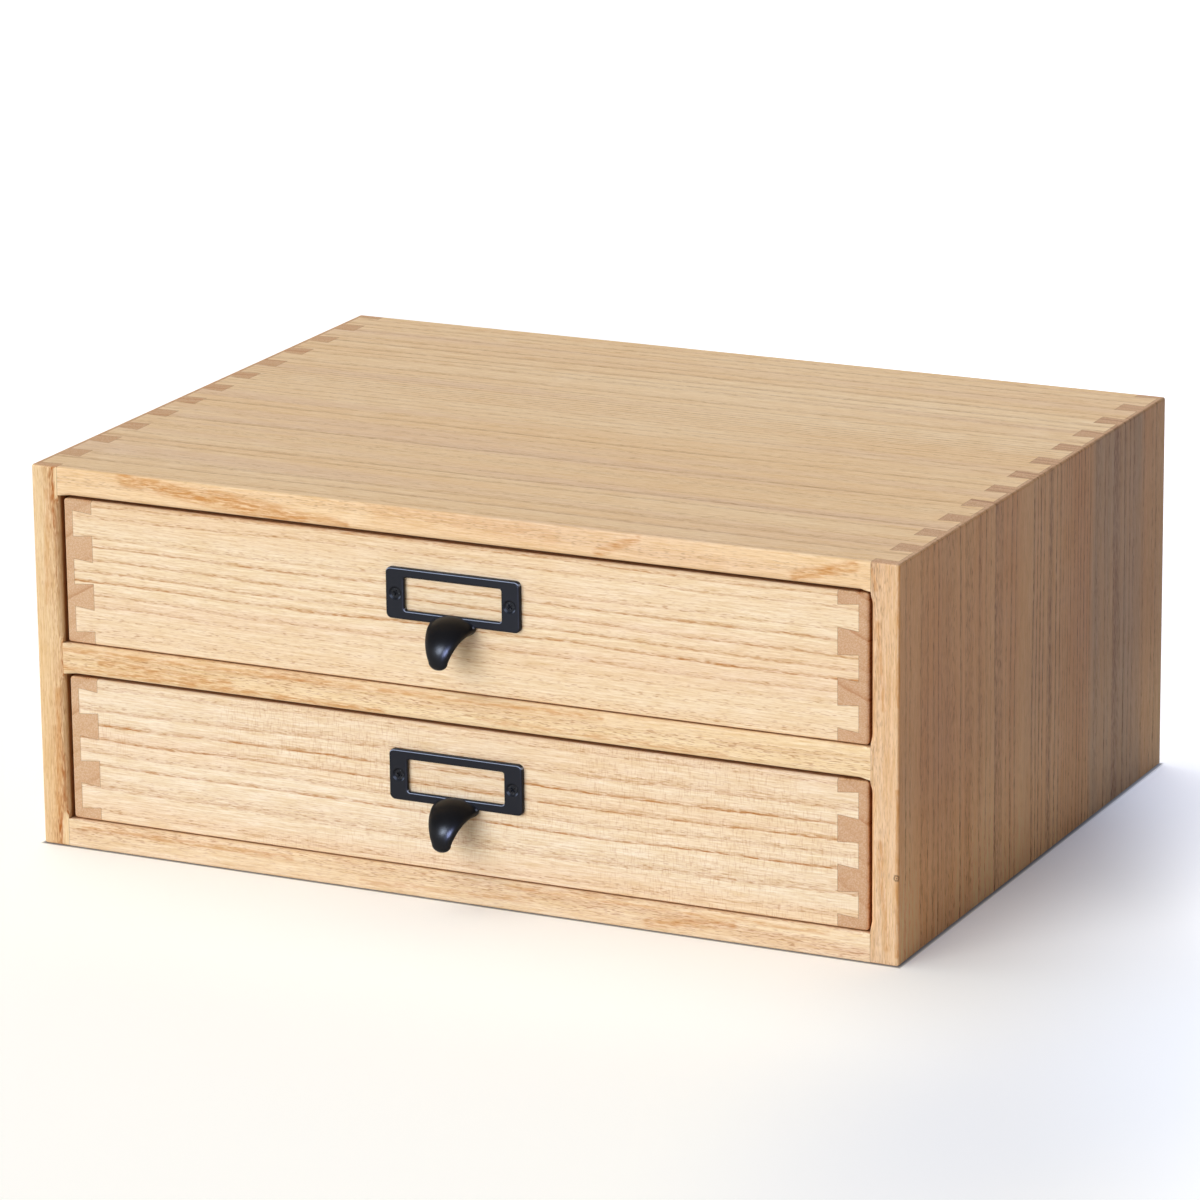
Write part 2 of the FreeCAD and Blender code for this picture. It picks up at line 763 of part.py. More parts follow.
def main():
    """Builds the document and writes each piece to its own file."""
    doc = FreeCAD.newDocument("desk_organizer")
    size = fill_sheet(doc)
    work_out(size)
    pieces = build_carcass(doc, size)
    lowest = size.top_thickness + size.drawer_bottom_clearance
    step = size.opening_height + size.divider_thickness
    pieces += build_drawer(doc, size, "lower", lowest)
    pieces += build_drawer(doc, size, "upper", lowest + step)
    doc.recompute()
    check(doc, pieces)
    os.makedirs("parts", exist_ok=True)
    for piece in pieces:
        piece.Shape.exportStep(f"parts/{piece.Label}.step")


main()
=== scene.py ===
"""A two-drawer desk organizer of pale solid wood, dressed and lit for its portrait."""

import logging
import math
from dataclasses import asdict, dataclass, field
from enum import Enum
from functools import reduce

import bpy
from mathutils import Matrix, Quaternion, Vector

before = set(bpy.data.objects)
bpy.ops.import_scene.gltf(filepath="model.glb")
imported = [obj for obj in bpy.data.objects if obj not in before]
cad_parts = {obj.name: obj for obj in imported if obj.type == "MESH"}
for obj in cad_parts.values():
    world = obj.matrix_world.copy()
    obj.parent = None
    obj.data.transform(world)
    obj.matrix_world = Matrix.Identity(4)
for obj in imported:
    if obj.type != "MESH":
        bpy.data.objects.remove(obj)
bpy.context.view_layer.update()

LOG = logging.getLogger("organizer")
MILLIMETRE = 0.001

Socket = bpy.types.NodeSocket
Source = Socket | float | tuple
Pair = tuple[float, float]
Triple = tuple[float, float, float]
Colour = tuple[float, float, float, float]


def srgb(red: int, green: int, blue: int) -> Colour:
    """Turns a colour as the eye reads it into the linear values that shaders use.

    Args:
        red: Red from 0 to 255.
        green: Green from 0 to 255.
        blue: Blue from 0 to 255.

    Returns:
        Linear red, green and blue with full alpha.
    """
    shares = [channel / 255 for channel in (red, green, blue)]
    linear = [s / 12.92 if s <= 0.04045 else ((s + 0.055) / 1.055) ** 2.4 for s in shares]
    return (*linear, 1.0)


class Grain(Enum):
    """The way in which a board's fibres run, with its axes as along, across and deep."""

    WIDTH = ("X", "Z", "Y")
    WIDTH_FLAT = ("X", "Y", "Z")
    HEIGHT = ("Z", "Y", "X")
    DEPTH = ("Y", "Z", "X")


class Level(Enum):
    """The two drawers, by the first word of their nodes' names."""

    LOWER = "lower"
    UPPER = "upper"


class Bench:
    """A node tree being built, with short calls for the nodes that this scene uses."""

    def __init__(self, tree: bpy.types.NodeTree) -> None:
        """Takes the tree that the nodes go into."""
        self.tree = tree

    def node(self, kind: str, *sources: Source, **settings: object) -> bpy.types.Node:
        """Adds a node and fills its first inputs.

        Args:
            kind: Blender's name for the node type.
            *sources: What goes into its inputs, in their order.
            **settings: Properties to set on it.

        Returns:
            The new node.
        """
        made = self.tree.nodes.new(kind)
        for name, value in settings.items():
            setattr(made, name, value)
        for socket, source in zip(made.inputs, sources):
            self.feed(socket, source)
        return made

    def feed(self, socket: Socket, source: Source) -> None:
        """Links a socket to a source, or sets it to a plain value.

        Args:
            socket: The input to fill.
            source: Another socket, a number or a tuple.
        """
        if isinstance(source, Socket):
            self.tree.links.new(source, socket)
        else:
            socket.default_value = source

    def math(self, operation: str, first: Source, second: Source = 0.0,
             clamp: bool = False) -> Socket:
        """Adds one step of arithmetic, whose result clamp keeps between 0 and 1."""
        made = self.node("ShaderNodeMath", first, second, operation=operation, use_clamp=clamp)
        return made.outputs[0]

    def plus(self, first: Source, second: Source) -> Socket:
        """Adds two numbers."""
        return self.math("ADD", first, second)

    def minus(self, first: Source, second: Source) -> Socket:
        """Takes the second number from the first."""
        return self.math("SUBTRACT", first, second)

    def times(self, first: Source, second: Source) -> Socket:
        """Multiplies two numbers."""
        return self.math("MULTIPLY", first, second)

    def off(self, value: Source, middle: Source) -> Socket:
        """Returns how far a number is from a middle, to either side."""
        return self.math("ABSOLUTE", self.minus(value, middle))

    def most(self, *numbers: Source) -> Socket:
        """Returns the largest of some numbers."""
        return reduce(lambda one, other: self.math("MAXIMUM", one, other), numbers)

    def vector(self, operation: str, first: Source, second: Source) -> Socket:
        """Adds one step of vector arithmetic that gives a vector."""
        return self.node("ShaderNodeVectorMath", first, second, operation=operation).outputs[0]

    def scale(self, first: Source, second: Source) -> Socket:
        """Multiplies two vectors part by part."""
        return self.vector("MULTIPLY", first, second)

    def measure(self, operation: str, first: Source, second: Source) -> Socket:
        """Adds one step of vector arithmetic that gives a number."""
        made = self.node("ShaderNodeVectorMath", first, second, operation=operation)
        return made.outputs["Value"]

    def split(self, source: Socket) -> tuple[Socket, Socket, Socket]:
        """Returns the three parts of a vector."""
        return tuple(self.node("ShaderNodeSeparateXYZ", source).outputs)

    def join(self, first: Source, second: Source, third: Source) -> Socket:
        """Makes a vector of three parts."""
        return self.node("ShaderNodeCombineXYZ", first, second, third).outputs[0]

    def spread(self, value: Socket, parts: Triple) -> Socket:
        """Makes a vector of one number's multiples."""
        return self.scale(self.join(value, value, value), parts)

    def noise(self, place: Source, detail: float = 2.0, roughness: float = 0.5) -> Socket:
        """Adds noise with one feature per unit of place, and finer layers over it.

        Args:
            place: Where the noise is read, already scaled.
            detail: How many finer layers it has.
            roughness: How strong the finer layers are.

        Returns:
            A value from 0 to 1.
        """
        made = self.node("ShaderNodeTexNoise", place, noise_dimensions="3D")
        for name, value in (("Scale", 1.0), ("Detail", detail), ("Roughness", roughness)):
            made.inputs[name].default_value = value
        return made.outputs[0]

    def chance(self, number: Socket) -> Socket:
        """Gives each whole number its own random value from 0 to 1."""
        nowhere = (0.0, 0.0, 0.0)
        return self.node("ShaderNodeTexWhiteNoise", nowhere, number,
                         noise_dimensions="1D").outputs["Value"]

    def fit(self, value: Source, low: Source, high: Source, start: Source = 0.0,
            end: Source = 1.0) -> Socket:
        """Maps the span from low to high to that from start to end, with soft, clamped ends."""
        return self.node("ShaderNodeMapRange", value, low, high, start, end,
                         interpolation_type="SMOOTHSTEP").outputs[0]

    def blend(self, share: Source, first: Source, second: Source, way: str = "MIX") -> Socket:
        """Mixes two colours.

        Args:
            share: How much of the second shows.
            first: The colour at share 0.
            second: The colour at share 1.
            way: Blender's name for the way of mixing.

        Returns:
            The mixed colour.
        """
        made = self.node("ShaderNodeMix", data_type="RGBA", blend_type=way)
        self.feed(made.inputs[0], share)
        self.feed(made.inputs[6], first)
        self.feed(made.inputs[7], second)
        return made.outputs[2]

    def tint(self, colour: Source, factor: Source) -> Socket:
        """Multiplies one colour by another."""
        return self.blend(1.0, colour, factor, "MULTIPLY")

    def weigh(self, *parts: tuple[Socket, float]) -> Socket:
        """Adds up values that lie round a half, each less that half and times its weight."""
        return reduce(self.plus, [self.times(self.minus(value, 0.5), weight)
                                  for value, weight in parts])

    def profile(self, value: Socket, stops: tuple[Pair, ...]) -> Socket:
        """Reads a grey profile through a value.

        Args:
            value: Where to read it, from 0 to 1.
            stops: Pairs of position and grey.

        Returns:
            The grey there.
        """
        made = self.node("ShaderNodeValToRGB", value)
        ramp = made.color_ramp
        while len(ramp.elements) < len(stops):
            ramp.elements.new(1.0)
        for element, (position, grey) in zip(ramp.elements, stops):
            element.position = position
            element.color = (grey, grey, grey, 1.0)
        return made.outputs[0]

    def place_group(self, group: bpy.types.NodeTree, **inputs: Source) -> bpy.types.Node:
        """Places a shared group.

        Args:
            group: The group's tree.
            **inputs: Its inputs, with an underscore for each space in their names.

        Returns:
            The group's node.
        """
        made = self.node("ShaderNodeGroup", node_tree=group)
        for name, source in inputs.items():
            self.feed(made.inputs[name.replace("_", " ")], source)
        return made


@dataclass(frozen=True)
class Streak:
    """Noise that is stretched along the grain or across it, and how it is mapped.

    Attributes:
        along: Features per metre along the grain.
        across: Features per metre across it.
        detail: How many finer layers it has.
        roughness: How strong the finer layers are.
        low: The noise at which the result is start.
        high: The noise at which the result is end.
        start: The result at low and below it.
        end: The result at high and above it.
    """

    along: float
    across: float
    detail: float = 1.0
    roughness: float = 0.5
    low: float = 0.0
    high: float = 1.0
    start: float = 0.0
    end: float = 1.0

    def read(self, bench: Bench, place: Socket) -> Socket:
        """Returns the noise at a place, as it comes."""
        scales = (self.along, self.across, self.across)
        return bench.noise(bench.scale(place, scales), self.detail, self.roughness)

    def map(self, bench: Bench, place: Socket) -> Socket:
        """Returns the noise at a place, mapped."""
        return bench.fit(self.read(bench, place), self.low, self.high, self.start, self.end)


# The sways of the rings, each with its weight in units of the waviness
SWAYS = ((Streak(4.0, 14.0), 3.4), (Streak(20.0, 60.0), 0.9), (Streak(190.0, 420.0), 0.16))
BREAKS = Streak(45.0, 520.0, low=0.28, high=0.68, start=0.55, end=1.1)
FINE_BREAKS = Streak(260.0, 1900.0, low=0.32, high=0.62, start=0.35, end=1.3)
PORE_DASHES = Streak(300.0, 2700.0, roughness=0.6, low=0.52, high=0.7)
WARM_ZONES = Streak(3.0, 34.0, 3.0, 0.6, low=0.3, high=0.7)
COOL_ZONES = Streak(2.2, 52.0, 2.0, 0.6, low=0.52, high=0.68)
PAINTED_SHEEN_PATCHES = Streak(9.0, 70.0, 2.0, low=0.3, high=0.7, start=0.55, end=1.1)
FIBRES = Streak(70.0, 1500.0, 3.0, 0.75, low=0.28, high=0.72)
RAYS = Streak(1900.0, 300.0, low=0.5, high=0.72)
RAY_PATCHES = Streak(13.0, 30.0, low=0.42, high=0.6)
END_DOTS = Streak(300.0, 1900.0, low=0.35, high=0.7)

# A ring's pore band, as pairs of the place in the ring and the band's strength there
BAND = ((0.0, 0.55), (0.04, 1.0), (0.1, 0.85), (0.2, 0.42), (0.36, 0.16), (0.6, 0.0),
        (0.93, 0.0), (1.0, 0.55))
# Each plank's figure is read this many metres away, shared out along, across and deep
PLANK_SHIFT = 7.3
PLANK_SLIDE = (0.31, 1.0, 2.1)
# The planks' heart lines lie within this span, in metres
HEART_SPAN = 0.06
# How fast the spacing changes from ring to ring, and how strong the faintest ring is
SPACING_CHANGE = 0.45
FAINTEST_RING = 0.2
# Where the calm and the painted sheen begin to fade, as shares of their reach
CALM_CORE = 0.6
PAINTED_SHEEN_CORE = 0.8
# How strongly pores show between the bands, and how far planks differ in tone
STRAY_PORES = 0.35
PLANK_TONE = 0.7
PORE_SHADE = (0.9, 0.85, 0.8, 1.0)
FIBRE_DARK = (0.9, 0.83, 0.7, 1.0)
FIBRE_LIGHT = (1.07, 1.12, 1.22, 1.0)
# Cut ends are speckled with a little of the ring colour and of a pale one
END_LINE_SHARE = 0.16
END_PALE_SHARE = 0.13
END_PALE = (1.0, 0.9, 0.78, 1.0)
END_BAND = 0.45
WOOD_ROUGHNESS = 0.5
PORE_ROUGHNESS = 0.2
END_ROUGHNESS = 0.14
PORE_DEPTH = -0.7
BAND_DEPTH = -0.3


def start_group(
    name: str, inputs: dict[str, str], outputs: dict[str, str]
) -> tuple[Bench, dict[str, Socket], bpy.types.Node]:
    """Starts a shared node group.

    Args:
        name: The group's name.
        inputs: For each kind of socket, its inputs' names with commas between them.
        outputs: The same for its outputs.

    Returns:
        A bench for its tree, its inputs inside the group by name, and its output node.
    """
    tree = bpy.data.node_groups.new(name, "ShaderNodeTree")
    for way, sockets in (("INPUT", inputs), ("OUTPUT", outputs)):
        for kind, labels in sockets.items():
            for label in labels.split(", "):
                tree.interface.new_socket(label, in_out=way, socket_type=f"NodeSocket{kind}")
    bench = Bench(tree)
    entry = bench.node("NodeGroupInput")
    return bench, dict(entry.outputs.items()), bench.node("NodeGroupOutput")


def find_zone(bench: Bench, given: dict[str, Socket], name: str, across: Socket,
              core: float) -> Socket:
    """Finds how strongly a zone of the board shows.

    Args:
        bench: The figure's bench.
        given: The figure's inputs.
        name: The zone's name, with which its Place, Reach and Share inputs start.
        across: The place across the grain.
        core: Where the zone begins to fade, as a share of its reach.

    Returns:
        The zone's share inside it, and 0 outside.
    """
    reach = given[f"{name} Reach"]
    away = bench.off(across, given[f"{name} Place"])
    return bench.fit(away, bench.times(reach, core), reach, given[f"{name} Share"], 0.0)


def build_figure_group() -> bpy.types.NodeTree:
    """Builds the figure of ring-porous wood in three dimensions.

    Growth rings lie round a heart line beside the board. Each ring starts sharply with a band
    of coarse pores and fades, and the pores are dashes on a long face and dots on an end.
    Extra rings, as many as Tight Share says, crowd together round Tight Place, rings fade
    round Calm Place, and a painted sheen makes the wood cooler round Sheen Place.

    Returns:
        The group, which gives colour, roughness and height.
    """
    bench, given, leave = start_group(
        "timber_figure",
        {
            "Vector": "Position, Heart",
            "Float": "Ring Width, Waviness, Plank Width, Seed, Line Strength, Pore Strength, "
                     "Ray Strength, Unevenness, Tight Place, Tight Reach, Tight Share, "
                     "Calm Place, Calm Reach, Calm Share, Sheen Place, Sheen Reach, "
                     "Sheen Share, Cool Share, End Mask",
            "Color": "Pale, Warm, Cool, Line, End",
        },
        {"Color": "Color", "Float": "Roughness, Height"},
    )
    _, across, deep = bench.split(given["Position"])
    plank = bench.math("FLOOR", bench.math("DIVIDE", across, given["Plank Width"]))
    luck = bench.chance(bench.plus(plank, given["Seed"]))
    shift = bench.times(bench.plus(luck, given["Seed"]), PLANK_SHIFT)
    place = bench.vector("ADD", given["Position"], bench.spread(shift, PLANK_SLIDE))

    # The rings
    sway = bench.weigh(*((streak.read(bench, place), weight) for streak, weight in SWAYS))
    _, heart_across, heart_deep = bench.split(given["Heart"])
    step = bench.times(bench.minus(luck, 0.5), HEART_SPAN)
    run = bench.minus(bench.plus(across, step), heart_across)
    rise = bench.minus(deep, heart_deep)
    radius = bench.math("SQRT", bench.plus(bench.times(run, run), bench.times(rise, rise)))
    radius = bench.plus(radius, bench.times(sway, given["Waviness"]))
    rings = bench.math("DIVIDE", radius, given["Ring Width"])
    uneven = bench.noise(bench.join(bench.times(rings, SPACING_CHANGE), given["Seed"], luck), 1.0)
    crowd = bench.fit(across, bench.minus(given["Tight Place"], given["Tight Reach"]),
                      bench.plus(given["Tight Place"], given["Tight Reach"]),
                      0.0, given["Tight Share"])
    rings = bench.plus(bench.plus(rings, bench.times(uneven, given["Unevenness"])), crowd)
    vigour = bench.chance(bench.plus(bench.math("FLOOR", rings), given["Seed"]))
    vigour = bench.fit(vigour, 0.0, 1.0, FAINTEST_RING, 1.0)
    calm = find_zone(bench, given, "Calm", across, CALM_CORE)
    vigour = bench.times(vigour, bench.minus(1.0, calm))

    # The pore bands and the single pores
    band = bench.profile(bench.math("FRACT", rings), BAND)
    strong = bench.times(band, vigour)
    broken = bench.times(BREAKS.map(bench, place), FINE_BREAKS.map(bench, place))
    line = bench.math("MULTIPLY", bench.times(strong, broken), given["Line Strength"], clamp=True)
    pore = bench.times(PORE_DASHES.map(bench, place), bench.fit(band, 0.0, 0.5, STRAY_PORES, 1.0))
    pore = bench.math("MULTIPLY", pore, given["Pore Strength"], clamp=True)

    # The colour of the long faces
    tone = bench.times(bench.minus(luck, 0.5), PLANK_TONE)
    tone = bench.math("ADD", WARM_ZONES.map(bench, place), tone, clamp=True)
    colour = bench.blend(tone, given["Pale"], given["Warm"])
    cool = bench.times(COOL_ZONES.map(bench, place), given["Cool Share"])
    # A painted sheen, standing in for a reflection, makes the wood cooler round Sheen Place
    sheen = find_zone(bench, given, "Sheen", across, PAINTED_SHEEN_CORE)
    cool = bench.most(cool, bench.times(sheen, PAINTED_SHEEN_PATCHES.map(bench, place)))
    colour = bench.blend(cool, colour, given["Cool"])
    colour = bench.blend(line, colour, given["Line"])
    pore_colour = bench.tint(given["Line"], PORE_SHADE)
    colour = bench.blend(pore, colour, pore_colour)
    colour = bench.tint(colour, bench.blend(FIBRES.map(bench, place), FIBRE_DARK, FIBRE_LIGHT))
    ray = bench.times(RAYS.map(bench, place), RAY_PATCHES.map(bench, place))
    colour = bench.blend(bench.times(ray, given["Ray Strength"]), colour, given["Line"])

    # The colour of the cut ends
    end = bench.blend(END_DOTS.map(bench, place),
                      bench.blend(END_LINE_SHARE, given["End"], given["Line"]),
                      bench.blend(END_PALE_SHARE, given["End"], END_PALE))
    end = bench.blend(bench.times(strong, END_BAND), end, pore_colour)
    bench.feed(leave.inputs["Color"], bench.blend(given["End Mask"], colour, end))

    dull = bench.plus(bench.times(pore, PORE_ROUGHNESS), WOOD_ROUGHNESS)
    dull = bench.plus(dull, bench.times(given["End Mask"], END_ROUGHNESS))
    bench.feed(leave.inputs["Roughness"], dull)
    low = bench.plus(bench.times(pore, PORE_DEPTH), bench.times(line, BAND_DEPTH))
    bench.feed(leave.inputs["Height"], bench.plus(low, 1.0))
    return bench.tree


# How far a surface has to turn to the grain, or to the board's thickness, to count
END_TURN = (0.55, 0.9)
FACE_TURN = (0.3, 0.95)


def build_side_group() -> bpy.types.NodeTree:
    """Builds the masks that tell a board's cut ends and broad faces from its edges.

    Returns:
        The group, which takes the surface normal turned to the board's own axes.
    """
    bench, given, leave = start_group("board_sides", {"Vector": "Normal"},
                                      {"Float": "Ends, Faces"})
    along, _, deep = bench.split(given["Normal"])
    bench.feed(leave.inputs["Ends"], bench.fit(bench.math("ABSOLUTE", along), *END_TURN))
    bench.feed(leave.inputs["Faces"], bench.fit(bench.math("ABSOLUTE", deep), *FACE_TURN))
    return bench.tree


def build_gap_shade_group() -> bpy.types.NodeTree:
    """Builds the mask of painted shade on the surfaces that turn into the gap round a drawer.

    The mask grows from Start to Full along the depth axis, inside a box that is Half Wide to
    each side and reaches from Low to High, and it is gone again at Deep.

    Returns:
        The group, which gives the mask.
    """
    bench, given, leave = start_group(
        "drawer_gap_shade", {"Vector": "Position", "Float": "Start, Full, Deep, Half Wide, Low, High"},
        {"Float": "Mask"},
    )
    across, depth, height = bench.split(given["Position"])
    mask = bench.times(bench.fit(depth, given["Start"], given["Full"]),
                       bench.fit(depth, given["Full"], given["Deep"], 1.0, 0.0))
    for inside in (
        bench.math("LESS_THAN", bench.math("ABSOLUTE", across), given["Half Wide"]),
        bench.math("GREATER_THAN", height, given["Low"]),
        bench.math("LESS_THAN", height, given["High"]),
    ):
        mask = bench.times(mask, inside)
    bench.feed(leave.inputs["Mask"], mask)
    return bench.tree


def build_seam_group() -> bpy.types.NodeTree:
    """Builds the thin dark glue line round dovetails.

    Row runs along the joint from the middle of its first pin, and Depth runs from the pins'
    roots towards the board's end, all in metres.

    Returns:
        The group, which gives a mask that is 1 on the line.
    """
    bench, given, leave = start_group(
        "glue_line", {"Float": "Row, Depth, Pitch, Half Pin, Slope, Tail, Line Width"},
        {"Float": "Mask"},
    )
    turn = bench.plus(bench.math("DIVIDE", given["Row"], given["Pitch"]), 0.5)
    from_pin = bench.times(bench.off(bench.math("FRACT", turn), 0.5), given["Pitch"])
    taper = bench.times(given["Depth"], given["Slope"])
    flank = bench.minus(from_pin, bench.minus(given["Half Pin"], taper))
    in_joint = bench.times(bench.math("GREATER_THAN", given["Depth"], 0.0),
                           bench.math("LESS_THAN", given["Depth"], given["Tail"]))
    in_pin = bench.math("LESS_THAN", flank, 0.0)
    lines = [
        bench.times(bench.fit(gap, 0.0, given["Line Width"], 1.0, 0.0), where)
        for gap, where in (
            (bench.math("ABSOLUTE", flank), in_joint),
            (bench.math("ABSOLUTE", given["Depth"]), in_pin),
            (bench.off(given["Depth"], given["Tail"]), bench.minus(1.0, in_pin)),
        )
    ]
    bench.feed(leave.inputs["Mask"], bench.most(*lines))
    return bench.tree


# A knot's dark ring and core, in shares of its radius, and the noise that frays them
KNOT_RING = 0.8
KNOT_RING_FADE = 0.45
KNOT_CORE = (0.15, 0.4)
KNOT_NOISE = (1400.0, 1400.0, 900.0)
KNOT_FRAY = 0.7


def build_knot_group() -> bpy.types.NodeTree:
    """Builds a pin knot, a dark core inside a dark ring with paler wood between them.

    Returns:
        The group, which gives a mask that is 1 where the knot is darkest.
    """
    bench, given, leave = start_group(
        "pin_knot", {"Vector": "Position, Centre", "Float": "Radius"}, {"Float": "Mask"}
    )
    away = bench.measure("DISTANCE", given["Position"], given["Centre"])
    away = bench.math("DIVIDE", away, given["Radius"])
    ragged = bench.noise(bench.scale(given["Position"], KNOT_NOISE), 1.0)
    away = bench.plus(away, bench.weigh((ragged, KNOT_FRAY)))
    ring = bench.fit(bench.off(away, KNOT_RING), 0.0, KNOT_RING_FADE, 1.0, 0.0)
    core = bench.fit(away, *KNOT_CORE, 1.0, 0.0)
    bench.feed(leave.inputs["Mask"], bench.most(ring, core))
    return bench.tree


# The part of a flame's reach at full strength, its strands' detail and roughness, and how
# their noise is mapped
FLAME_CORE = 0.15
STRAND_NOISE = (3.0, 0.7)
STRAND_SPAN = (0.36, 0.62, 0.1, 1.0)


def build_flame_group() -> bpy.types.NodeTree:
    """Builds a flame of stray grain, a run of fine strands along a line on a board's front.

    Returns:
        The group, which gives a mask that is strongest along the line from Start to End.
    """
    bench, given, leave = start_group(
        "grain_flame", {"Vector": "Position, Start, End, Strands", "Float": "Reach, Front"},
        {"Float": "Mask"},
    )
    flat = bench.scale(given["Position"], (1.0, 0.0, 1.0))
    way = bench.vector("SUBTRACT", given["End"], given["Start"])
    run = bench.measure("DOT_PRODUCT", bench.vector("SUBTRACT", flat, given["Start"]), way)
    run = bench.math("DIVIDE", run, bench.measure("DOT_PRODUCT", way, way), clamp=True)
    nearest = bench.vector("ADD", given["Start"], bench.scale(way, run))
    away = bench.measure("DISTANCE", flat, nearest)
    mask = bench.fit(away, bench.times(given["Reach"], FLAME_CORE), given["Reach"], 1.0, 0.0)
    strands = bench.noise(bench.scale(given["Position"], given["Strands"]), *STRAND_NOISE)
    mask = bench.times(mask, bench.fit(strands, *STRAND_SPAN))
    _, depth, _ = bench.split(given["Position"])
    mask = bench.times(mask, bench.math("LESS_THAN", depth, given["Front"]))
    bench.feed(leave.inputs["Mask"], mask)
    return bench.tree


HANDLING_SCALES = (35.0, 35.0, 35.0)
HANDLING_NOISE = (3.0, 0.6)


def build_handling_group() -> bpy.types.NodeTree:
    """Builds the faint unevenness that hands and cloths leave on every surface.

    Returns:
        The group, which gives a value round 0 to add to a roughness.
    """
    bench, given, leave = start_group(
        "handling", {"Vector": "Position", "Float": "Amount"}, {"Float": "Value"}
    )
    wide = bench.noise(bench.scale(given["Position"], HANDLING_SCALES), *HANDLING_NOISE)
    bench.feed(leave.inputs["Value"], bench.weigh((wide, given["Amount"])))
    return bench.tree


@dataclass(frozen=True)
class Groups:
    """The effects that several materials share."""

    figure: bpy.types.NodeTree = field(default_factory=build_figure_group)
    sides: bpy.types.NodeTree = field(default_factory=build_side_group)
    gap: bpy.types.NodeTree = field(default_factory=build_gap_shade_group)
    seam: bpy.types.NodeTree = field(default_factory=build_seam_group)
    knot: bpy.types.NodeTree = field(default_factory=build_knot_group)
    flame: bpy.types.NodeTree = field(default_factory=build_flame_group)
    handling: bpy.types.NodeTree = field(default_factory=build_handling_group)


class Surface:
    """A material being made, with what every finish needs of it."""

    def __init__(self, name: str, groups: Groups | None = None) -> None:
        """Starts the material.

        Args:
            name: The material's name.
            groups: The shared effects, where it uses them.
        """
        self.material = bpy.data.materials.new(name)
        self.material.use_nodes = True
        self.shader = self.material.node_tree.nodes["Principled BSDF"]
        self.bench = Bench(self.material.node_tree)
        self.groups = groups
        coordinates = self.bench.node("ShaderNodeTexCoord")
        self.position = coordinates.outputs["Object"]
        self.normal = coordinates.outputs["Normal"]

    def finish(self, colour: Source, roughness: Source, specular: float,
               handling: float = 0.0) -> None:
        """Sets what every finish sets.

        Args:
            colour: The colour.
            roughness: The roughness.
            specular: How strongly the surface mirrors.
            handling: How uneven handling has left the roughness.
        """
        if handling:
            made = self.bench.place_group(self.groups.handling, Position=self.position,
                                          Amount=handling)
            roughness = self.bench.plus(made.outputs["Value"], roughness)
        self.bench.feed(self.shader.inputs["Base Color"], colour)
        self.bench.feed(self.shader.inputs["Roughness"], roughness)
        self.shader.inputs["Specular IOR Level"].default_value = specular

    def emboss(self, height: Source, strength: float, depth: float) -> None:
        """Adds a fine relief.

        Args:
            height: Its height from 0 to 1.
            strength: How strongly it shows.
            depth: How deep it is, in millimetres.
        """
        bump = self.bench.node("ShaderNodeBump")
        bump.inputs["Strength"].default_value = strength
        bump.inputs["Distance"].default_value = depth * MILLIMETRE
        self.bench.feed(bump.inputs["Height"], height)
        self.bench.feed(self.shader.inputs["Normal"], bump.outputs[0])


@dataclass(frozen=True)
class Dovetails:
    """A row of dovetails, as its glue lines need it, in millimetres.

    Attributes:
        row_axis: The axis that the row runs along.
        row_start: The middle of the first pin on that axis.
        root: How far the pins' roots are from the middle of the object.
        pitch: The distance between pins.
        tail: The length of the tails.
        half_pin: Half the width of a pin at its root.
        slope: How fast the pins taper.
        lowest: The glue lines show only outside the span from here
        highest: to here, on the height axis.
    """

    row_axis: str
    row_start: float
    root: float
    pitch: float
    tail: float
    half_pin: float = 5.2
    slope: float = 0.105
    lowest: float = 0.0
    highest: float = 0.0


@dataclass(frozen=True)
class GapShade:
    """The painted shade on the rim where a board turns into the gap round a drawer, in millimetres.

    Attributes:
        start: Where the rim starts on the depth axis.
        full: Where it is darkest.
        deep: Where it is gone again.
        half_wide: How far it reaches to each side.
        low: The lowest height that it reaches.
        high: The highest height that it reaches.
    """

    start: float
    full: float
    deep: float
    half_wide: float
    low: float
    high: float

    def inputs(self) -> dict[str, float]:
        """Returns the gap group's inputs, in metres."""
        return {name.title(): size * MILLIMETRE for name, size in asdict(self).items()}


@dataclass(frozen=True)
class Flame:
    """A flame of stray grain on a board's front edge, in millimetres.

    Attributes:
        start: Where it starts, across and up.
        end: Where it ends, across and up.
        reach: How far it spreads from its line.
        strength: How strongly it shows.
    """

    start: Pair
    end: Pair
    reach: float
    strength: float


CARCASS_HALF_WIDTH = 177.5
CARCASS_HALF_DEPTH = 133.0
CARCASS_JOINT = Dovetails("Y", -133.0, 166.5, 266.0 / 12, 9.0, lowest=11.0, highest=139.0)
DRAWER_JOINTS = {
    Level.LOWER: Dovetails("Z", 11.3, 153.0, 56.3 / 3, 8.2),
    Level.UPPER: Dovetails("Z", 81.3, 153.0, 56.3 / 3, 8.2),
}
OPENING_GAP_SHADE = GapShade(-131.6, -129.9, -60.0, 169.0, 8.5, 141.5)
DRAWER_GAP_SHADE = GapShade(-130.7, -129.2, -119.3, 180.0, 0.0, 150.0)
GAP_PAINTED_SHADE = (0.56, 0.36, 0.24, 1.0)
TOP_FLAMES = (
    Flame((-138.0, 148.5), (-62.0, 139.5), 4.2, 0.85),
    Flame((-100.0, 147.0), (-44.0, 140.5), 2.8, 0.6),
    Flame((59.0, 141.5), (75.0, 148.5), 2.6, 0.65),
    Flame((137.0, 141.5), (160.0, 147.5), 3.2, 0.8),
    Flame((-30.0, 147.0), (40.0, 145.0), 6.0, 0.25),
)
